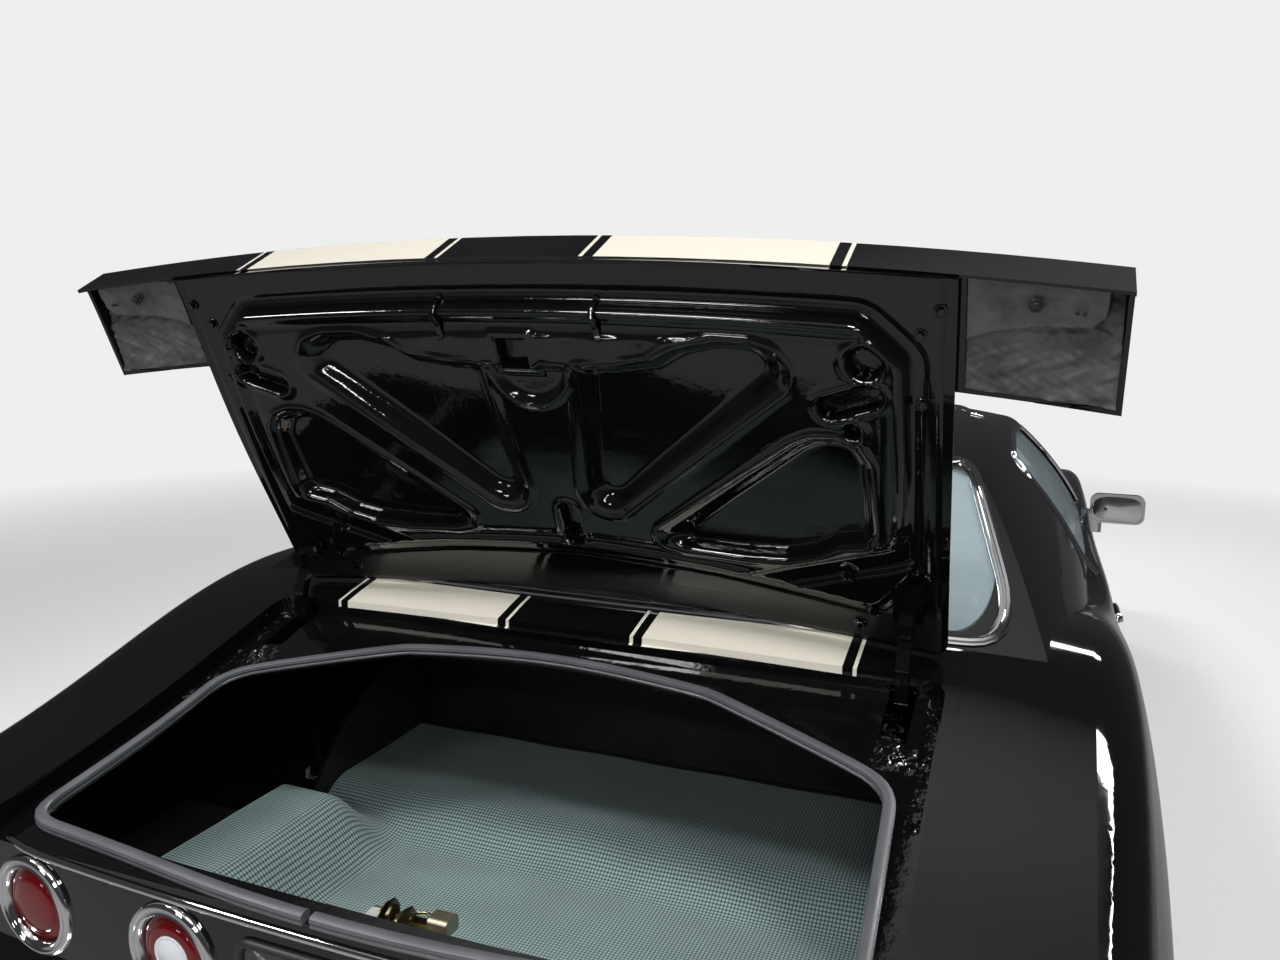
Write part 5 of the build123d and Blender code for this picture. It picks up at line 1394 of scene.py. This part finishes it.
def engineDress():
    bright, dark, ribs = [], [], []
    x, y, r = engineLook["cleaner"]
    hit = dropOn(engineSkin, x, y, 1.2)
    bright.append(turnedShape(hit, (0, 0, 1), [(-0.003, r - 0.004), (0.002, r - 0.001), (0.005, r - 0.004),
                                               (0.006, r - 0.012), (0.004, r - 0.020), (0.005, r * 0.45),
                                               (0.009, r * 0.36), (0.009, 0)], 72))
    bright.append(turnedShape(hit + Vector((0, 0, 0.008)), (0, 0, 1),
                              [(0, 0.011), (0.005, 0.010), (0.007, 0.004), (0.012, 0.003), (0.012, 0)], 24))
    dark.append(turnedShape(hit, (0, 0, -1), [(0.010, r + 0.0003), (0.012, r + 0.0028), (0.050, r + 0.0028),
                                              (0.052, r + 0.0003)], 96))
    start, pitch, count = engineLook["ribs"]
    plugX, first, apart, plugs = engineLook["plugs"]
    low, high = engineLook["coverY"]
    for side in (1, -1):
        for step in range(count):
            path = []
            for part in range(9):
                spot = dropOn(engineSkin, side * (start + pitch * step), low + (high - low) * part / 8, 1.2)
                path.append(spot + Vector((0, 0, 0.0025)))
            ribs.append(sweptShape(path, [Vector((0, 0, 1))] * 9, roundSection(0.005, 0.009, 8),
                                   closed=False))
        for plug in range(plugs):
            spot = dropOn(engineSkin, side * plugX, low + first + apart * plug, 1.2)
            bends = ((side * 0.034, 0, -0.05), (side * 0.045, 0.006, 0.022), (0, 0.02, 0.026))
            lead = [spot + Vector(bend) for bend in bends]
            lead.append(Vector((side * 0.10, low - 0.035, spot.z + 0.014)))
            lead = roundCorners(lead, 0.03, 0.008, closed=False)
            leadUps = [Vector((0, 0.2, 1))] * len(lead)
            dark.append(sweptShape(lead, leadUps, roundSection(0.0075, 0.0075, 10, 2), closed=False))
    addShapes("engineBright", bright + ribs, "chrome", sharp=40)
    addPiece("engineDark", *joinShapes(dark), looks["black_trim"], "car", "engine_iron", sharp=40)


engineDress()
print("engine dressed")

# wheels: tread, nuts and caps
tyreLook = {
    "radius": 0.335, "blocks": 84, "groove": 0.007, "grooveWidth": 0.0065,
    "grooves": (-0.060, -0.021, 0.021, 0.060),
    "wall": [(-0.088, 0.2023), (-0.0935, 0.207), (-0.095, 0.214), (-0.101, 0.226), (-0.1065, 0.246),
             (-0.1075, 0.262), (-0.1072, 0.270), (-0.1055, 0.2715), (-0.1063, 0.274), (-0.1052, 0.288),
             (-0.1022, 0.301), (-0.0965, 0.3125), (-0.0905, 0.3205), (-0.084, 0.3255)],
}


def tyreShape(centre, side):
    look, tread = tyreLook, []
    x = -0.078
    while x <= 0.0781:
        tread.append((x, 0.3352 - 0.006 * (x / 0.078) ** 4 - 0.0022 * (x / 0.078) ** 2))
        x += 0.003
    profile = look["wall"] + tread + [(-a, r) for a, r in reversed(look["wall"])]
    points, segments = [], look["blocks"] * 4
    for step in range(segments):
        angle = 2 * pi * step / segments
        for x, r in profile:
            cut = 0
            if abs(x) <= 0.0785:
                near = min(abs(x - g) for g in look["grooves"])
                if near < look["grooveWidth"] / 2 + 0.0005:
                    cut = look["groove"]
                elif step % 4 == 0 and (abs(x) > 0.058 or abs(x) < 0.055 and step // 4 % 2 == (x > 0)):
                    cut = look["groove"] * 0.75
            elif 0.078 < abs(x) < 0.092 and step % 4 == 0 and r > 0.31:
                cut = look["groove"] * 0.4
            points.append(Vector(centre) + Vector((x * side, cos(angle) * (r - cut), sin(angle) * (r - cut))))
    return points, ringFaces(segments, len(profile), closed=True)


wheelLook = {
    "nutCircle": 0.0603, "nutRadius": 0.0105, "nutOut": 0.034, "capOut": 0.0595,
    "cap": [(-0.004, 0.0385), (0.003, 0.0385), (0.006, 0.036), (0.0065, 0.026), (0.009, 0.0235), (0.0095, 0)],
    "places": {"front_right": (0.7785, 1.427, 1), "front_left": (-0.7785, 1.427, -1),
               "rear_right": (0.762, -1.316, 1), "rear_left": (-0.762, -1.316, -1)},
}


def nutShape(centre, out):
    r = wheelLook["nutRadius"]
    ring = turnedShape(centre, out, [(0, r), (0.016, r), (0.019, 0.008), (0.0195, 0)], 6)
    seat = turnedShape(centre, out, [(-0.002, 0.0155), (0.001, 0.0155), (0.0025, 0.0135), (0.0025, 0)], 32)
    return joinShapes([ring, seat])


for place, (x, y, side) in wheelLook["places"].items():
    centre = Vector((x, y, tyreLook["radius"]))
    tyre = addShapes("treadedTyre_" + place, [tyreShape(centre, side)], "tyre", "wheel_" + place, sharp=35)
    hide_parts("tyre_" + place)
    out = Vector((side, 0, 0))
    shapes = []
    for nut in range(5):
        angle = 2 * pi * (nut + 0.5) / 5
        around = Vector((0, cos(angle), sin(angle))) * wheelLook["nutCircle"]
        shapes.append(nutShape(centre + out * wheelLook["nutOut"] + around, out))
    shapes.append(turnedShape(centre + out * wheelLook["capOut"], out, wheelLook["cap"], 48))
    addShapes("wheelNuts_" + place, shapes, "chrome", "wheel_" + place, sharp=35)
print("tyres and wheels finished")

# bucket seats and rear bench: pleated vinyl over foam
seatLook = {
    "pleat": 0.052, "pleatDepth": 0.007, "round": 0.055, "pressure": 4.0, "frames": 20, "reach": 0.007,
    "x": 0.402, "cushion": ((-0.02, 0.355), (0.48, 0.46, 0.135), 4, (-0.16, 0.16, -0.17, 0.15), 0.022),
    "back": ((-0.374, 0.583), (0.47, 0.47, 0.082), -68.5, (-0.15, 0.15, -0.17, 0.19), 0.02),
    "benchX": 0.285,
    "benchCushion": ((-0.905, 0.505), (0.53, 0.31, 0.105), 3, (-0.2, 0.2, -0.12, 0.12), 0.02),
    "benchBack": ((-1.138, 0.698), (0.53, 0.34, 0.095), -71.8, (-0.2, 0.2, -0.13, 0.13), 0.018),
    "runner": (0.17, (-0.2, 0.12), 0.275),
}


def paddedBlock(x, spotYz, size, lean, pleatZone, crown):
    # a rounded box, crowned on top, with sewn channels in its middle panel
    shell = bmesh.new()
    bmesh.ops.create_cube(shell, size=2.0)
    bmesh.ops.subdivide_edges(shell, edges=shell.edges[:], cuts=23, use_grid_fill=True)
    turn, half = Matrix.Rotation(radians(lean), 3, "X"), Vector(size) / 2
    bend = min(seatLook["round"], half.z * 0.85)
    inner = Vector((half.x - seatLook["round"], half.y - seatLook["round"], half.z - bend))
    lowX, highX, lowY, highY = pleatZone
    points, faces = [], [tuple(v.index for v in face.verts) for face in shell.faces]
    for vert in shell.verts:
        spot = Vector((vert.co.x * half.x, vert.co.y * half.y, vert.co.z * half.z))
        core = Vector([max(-limit, min(limit, value)) for value, limit in zip(spot, inner)])
        away = spot - core
        if away.length > 1e-6:
            spot = core + away.normalized() * bend
        if vert.co.z > 0.2:
            spot.z += crown * (1 - vert.co.x ** 2) * (1 - vert.co.y ** 2)
            edge = min(spot.x - lowX, highX - spot.x, spot.y - lowY, highY - spot.y)
            if edge > 0:
                channel = abs(sin(pi * (spot.x - lowX) / seatLook["pleat"]))
                spot.z -= seatLook["pleatDepth"] * (1 - channel ** 0.5) * min(1, edge / 0.02)
                spot.z -= 0.005 * bead(edge, 0.004, 0.005)
        points.append(Vector((x, *spotYz)) + turn @ spot)
    shell.free()
    return points, faces


def fillPad(piece):
    # a short pressure simulation puffs the cover between its seams, its movement capped
    cloth = piece.modifiers.new("filling", "CLOTH")
    cloth.settings.use_pressure = True
    cloth.settings.uniform_pressure_force = seatLook["pressure"]
    cloth.settings.effector_weights.gravity = 0
    cloth.point_cache.frame_end = seatLook["frames"]
    scene = bpy.context.scene
    for step in range(1, seatLook["frames"] + 1):
        scene.frame_set(step)
    filled = [v.co.copy() for v in piece.evaluated_get(bpy.context.evaluated_depsgraph_get()).data.vertices]
    piece.modifiers.remove(cloth)
    scene.frame_set(1)
    for vert, spot in zip(piece.data.vertices, filled):
        move = spot - vert.co
        vert.co += move * min(1.0, seatLook["reach"] / max(move.length, 1e-9))


def makePad(name, x, form):
    piece = addShapes(name, [paddedBlock(x, *seatLook[form])], "seat_vinyl", sharp=180)
    fillPad(piece)
    return piece


for side, name in ((1, "Right"), (-1, "Left")):
    makePad("seatCushion" + name, seatLook["x"] * side, "cushion")
    makePad("seatBack" + name, seatLook["x"] * side, "back")
    makePad("benchCushion" + name, seatLook["benchX"] * side, "benchCushion")
    makePad("benchBack" + name, seatLook["benchX"] * side, "benchBack")
    reach, (rearY, frontY), z = seatLook["runner"]
    for way, runner in ((-1, "seatFrame"), (1, "seatRunner")):
        x = seatLook["x"] * side + reach * way
        rail, ups = [Vector((x, rearY, z)), Vector((x, frontY, z))], [Vector((0, 0, 1))] * 2
        addShapes(runner + name, [sweptShape(rail, ups, roundSection(0.03, 0.035), closed=False)],
                  "black_trim")
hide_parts("front_seats")
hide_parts("rear_seat")
print("seats padded")

# camera, floor and light
cameraLook = {"place": (0.727, -3.265, 1.507), "yaw": 21.39, "pitch": 8.98, "roll": 0.652, "lens": 29.04}
camera = bpy.data.objects.new("camera", bpy.data.cameras.new("camera"))
bpy.context.collection.objects.link(camera)
camera.data.lens = cameraLook["lens"]
camera.data.clip_start = 0.02
yaw, roll = (Matrix.Rotation(radians(cameraLook[key]), 4, "Z") for key in ("yaw", "roll"))
pitch = Matrix.Rotation(radians(90 - cameraLook["pitch"]), 4, "X")
camera.matrix_world = Matrix.Translation(cameraLook["place"]) @ yaw @ pitch @ roll
bpy.context.scene.camera = camera
bpy.context.scene.view_settings.view_transform = "Standard"


def makeFloor():
    # lit and shadowed near the car, an even pale tone where the camera sees it far off
    mat, tree, shader, coords = startMaterial("paleFloor", (0.8, 0.79, 0.78), 0.5)
    speck = addNoise(tree, coords, 60.0, 4.0)
    seen = tree.nodes.new("ShaderNodeLightPath")
    tone = addMix(tree, speck, (0.76, 0.75, 0.74), (0.84, 0.83, 0.82))
    colour = addMix(tree, seen.outputs["Is Glossy Ray"], tone, (0.24, 0.236, 0.232))
    tree.links.new(colour, shader.inputs["Base Color"])
    far = tree.nodes.new("ShaderNodeVectorMath")
    far.operation = "LENGTH"
    tree.links.new(coords, far.inputs[0])
    share = addRange(tree, far.outputs["Value"], 3.4, 8.0, 0.0, 1.0)
    share = addMath(tree, "MULTIPLY", share, seen.outputs["Is Camera Ray"])
    even = tree.nodes.new("ShaderNodeEmission")
    even.inputs["Color"].default_value = (0.86, 0.86, 0.86, 1)
    blend = tree.nodes.new("ShaderNodeMixShader")
    tree.links.new(share, blend.inputs[0])
    tree.links.new(shader.outputs[0], blend.inputs[1])
    tree.links.new(even.outputs[0], blend.inputs[2])
    tree.links.new(blend.outputs[0], tree.nodes["Material Output"].inputs["Surface"])
    return mat


floorMesh = bpy.data.meshes.new("studioFloor")
floorMesh.from_pydata([(-30, -30, 0), (30, -30, 0), (30, 30, 0), (-30, 30, 0)], [], [(0, 1, 2, 3)])
studioFloor = bpy.data.objects.new("studioFloor", floorMesh)
bpy.context.collection.objects.link(studioFloor)
floorMesh.materials.append(makeFloor())

world = bpy.data.worlds.new("studio")
bpy.context.scene.world = world
world.use_nodes = True
skyTree = world.node_tree
sky = skyTree.nodes["Background"]
lightPath = skyTree.nodes.new("ShaderNodeLightPath")
skyCoords = skyTree.nodes.new("ShaderNodeTexCoord")
skyHeight = addSplit(skyTree, skyCoords.outputs["Generated"])[2]
# gloss mirrors a hall: dim walls, a pale ceiling overhead
band = addRange(skyTree, skyHeight, 0.74, 0.93, 0.0, 1.0)
hall = addMix(skyTree, band, (0.045, 0.045, 0.048), (0.85, 0.85, 0.84))
fill = addMix(skyTree, lightPath.outputs["Is Glossy Ray"], (0.26, 0.27, 0.29), hall)
skyColour = addMix(skyTree, lightPath.outputs["Is Camera Ray"], fill, (0.86, 0.86, 0.86))
skyTree.links.new(skyColour, sky.inputs["Color"])
sky.inputs["Strength"].default_value = 1.0

lampTable = (   # place, size, power
    ((-2.3, -2.9, 3.6), (0.8, 0.35), 40),
    ((-0.9, -3.8, 3.6), (0.8, 0.35), 40),
    ((0.6, -3.0, 3.6), (0.8, 0.35), 40),
    ((2.0, -3.9, 3.6), (0.8, 0.35), 40),
    ((-1.5, -6.2, 3.2), (0.9, 0.4), 45),
    ((1.4, -6.4, 3.2), (0.9, 0.4), 45),
    ((-1.6, 0.9, 3.9), (1.2, 0.5), 70),
    ((2.3, 0.6, 3.9), (1.2, 0.5), 70),
    ((-1.2, 4.4, 3.6), (1.1, 0.5), 60),
    ((1.6, 4.2, 3.6), (1.1, 0.5), 60),
)
for spot, size, power in lampTable:
    lamp = bpy.data.objects.new("ceilingLamp", bpy.data.lights.new("ceilingLamp", "AREA"))
    lamp.data.shape = "RECTANGLE"
    lamp.data.size, lamp.data.size_y = size
    lamp.data.energy = power
    lamp.location = spot
    bpy.context.collection.objects.link(lamp)
print("camera and light set")
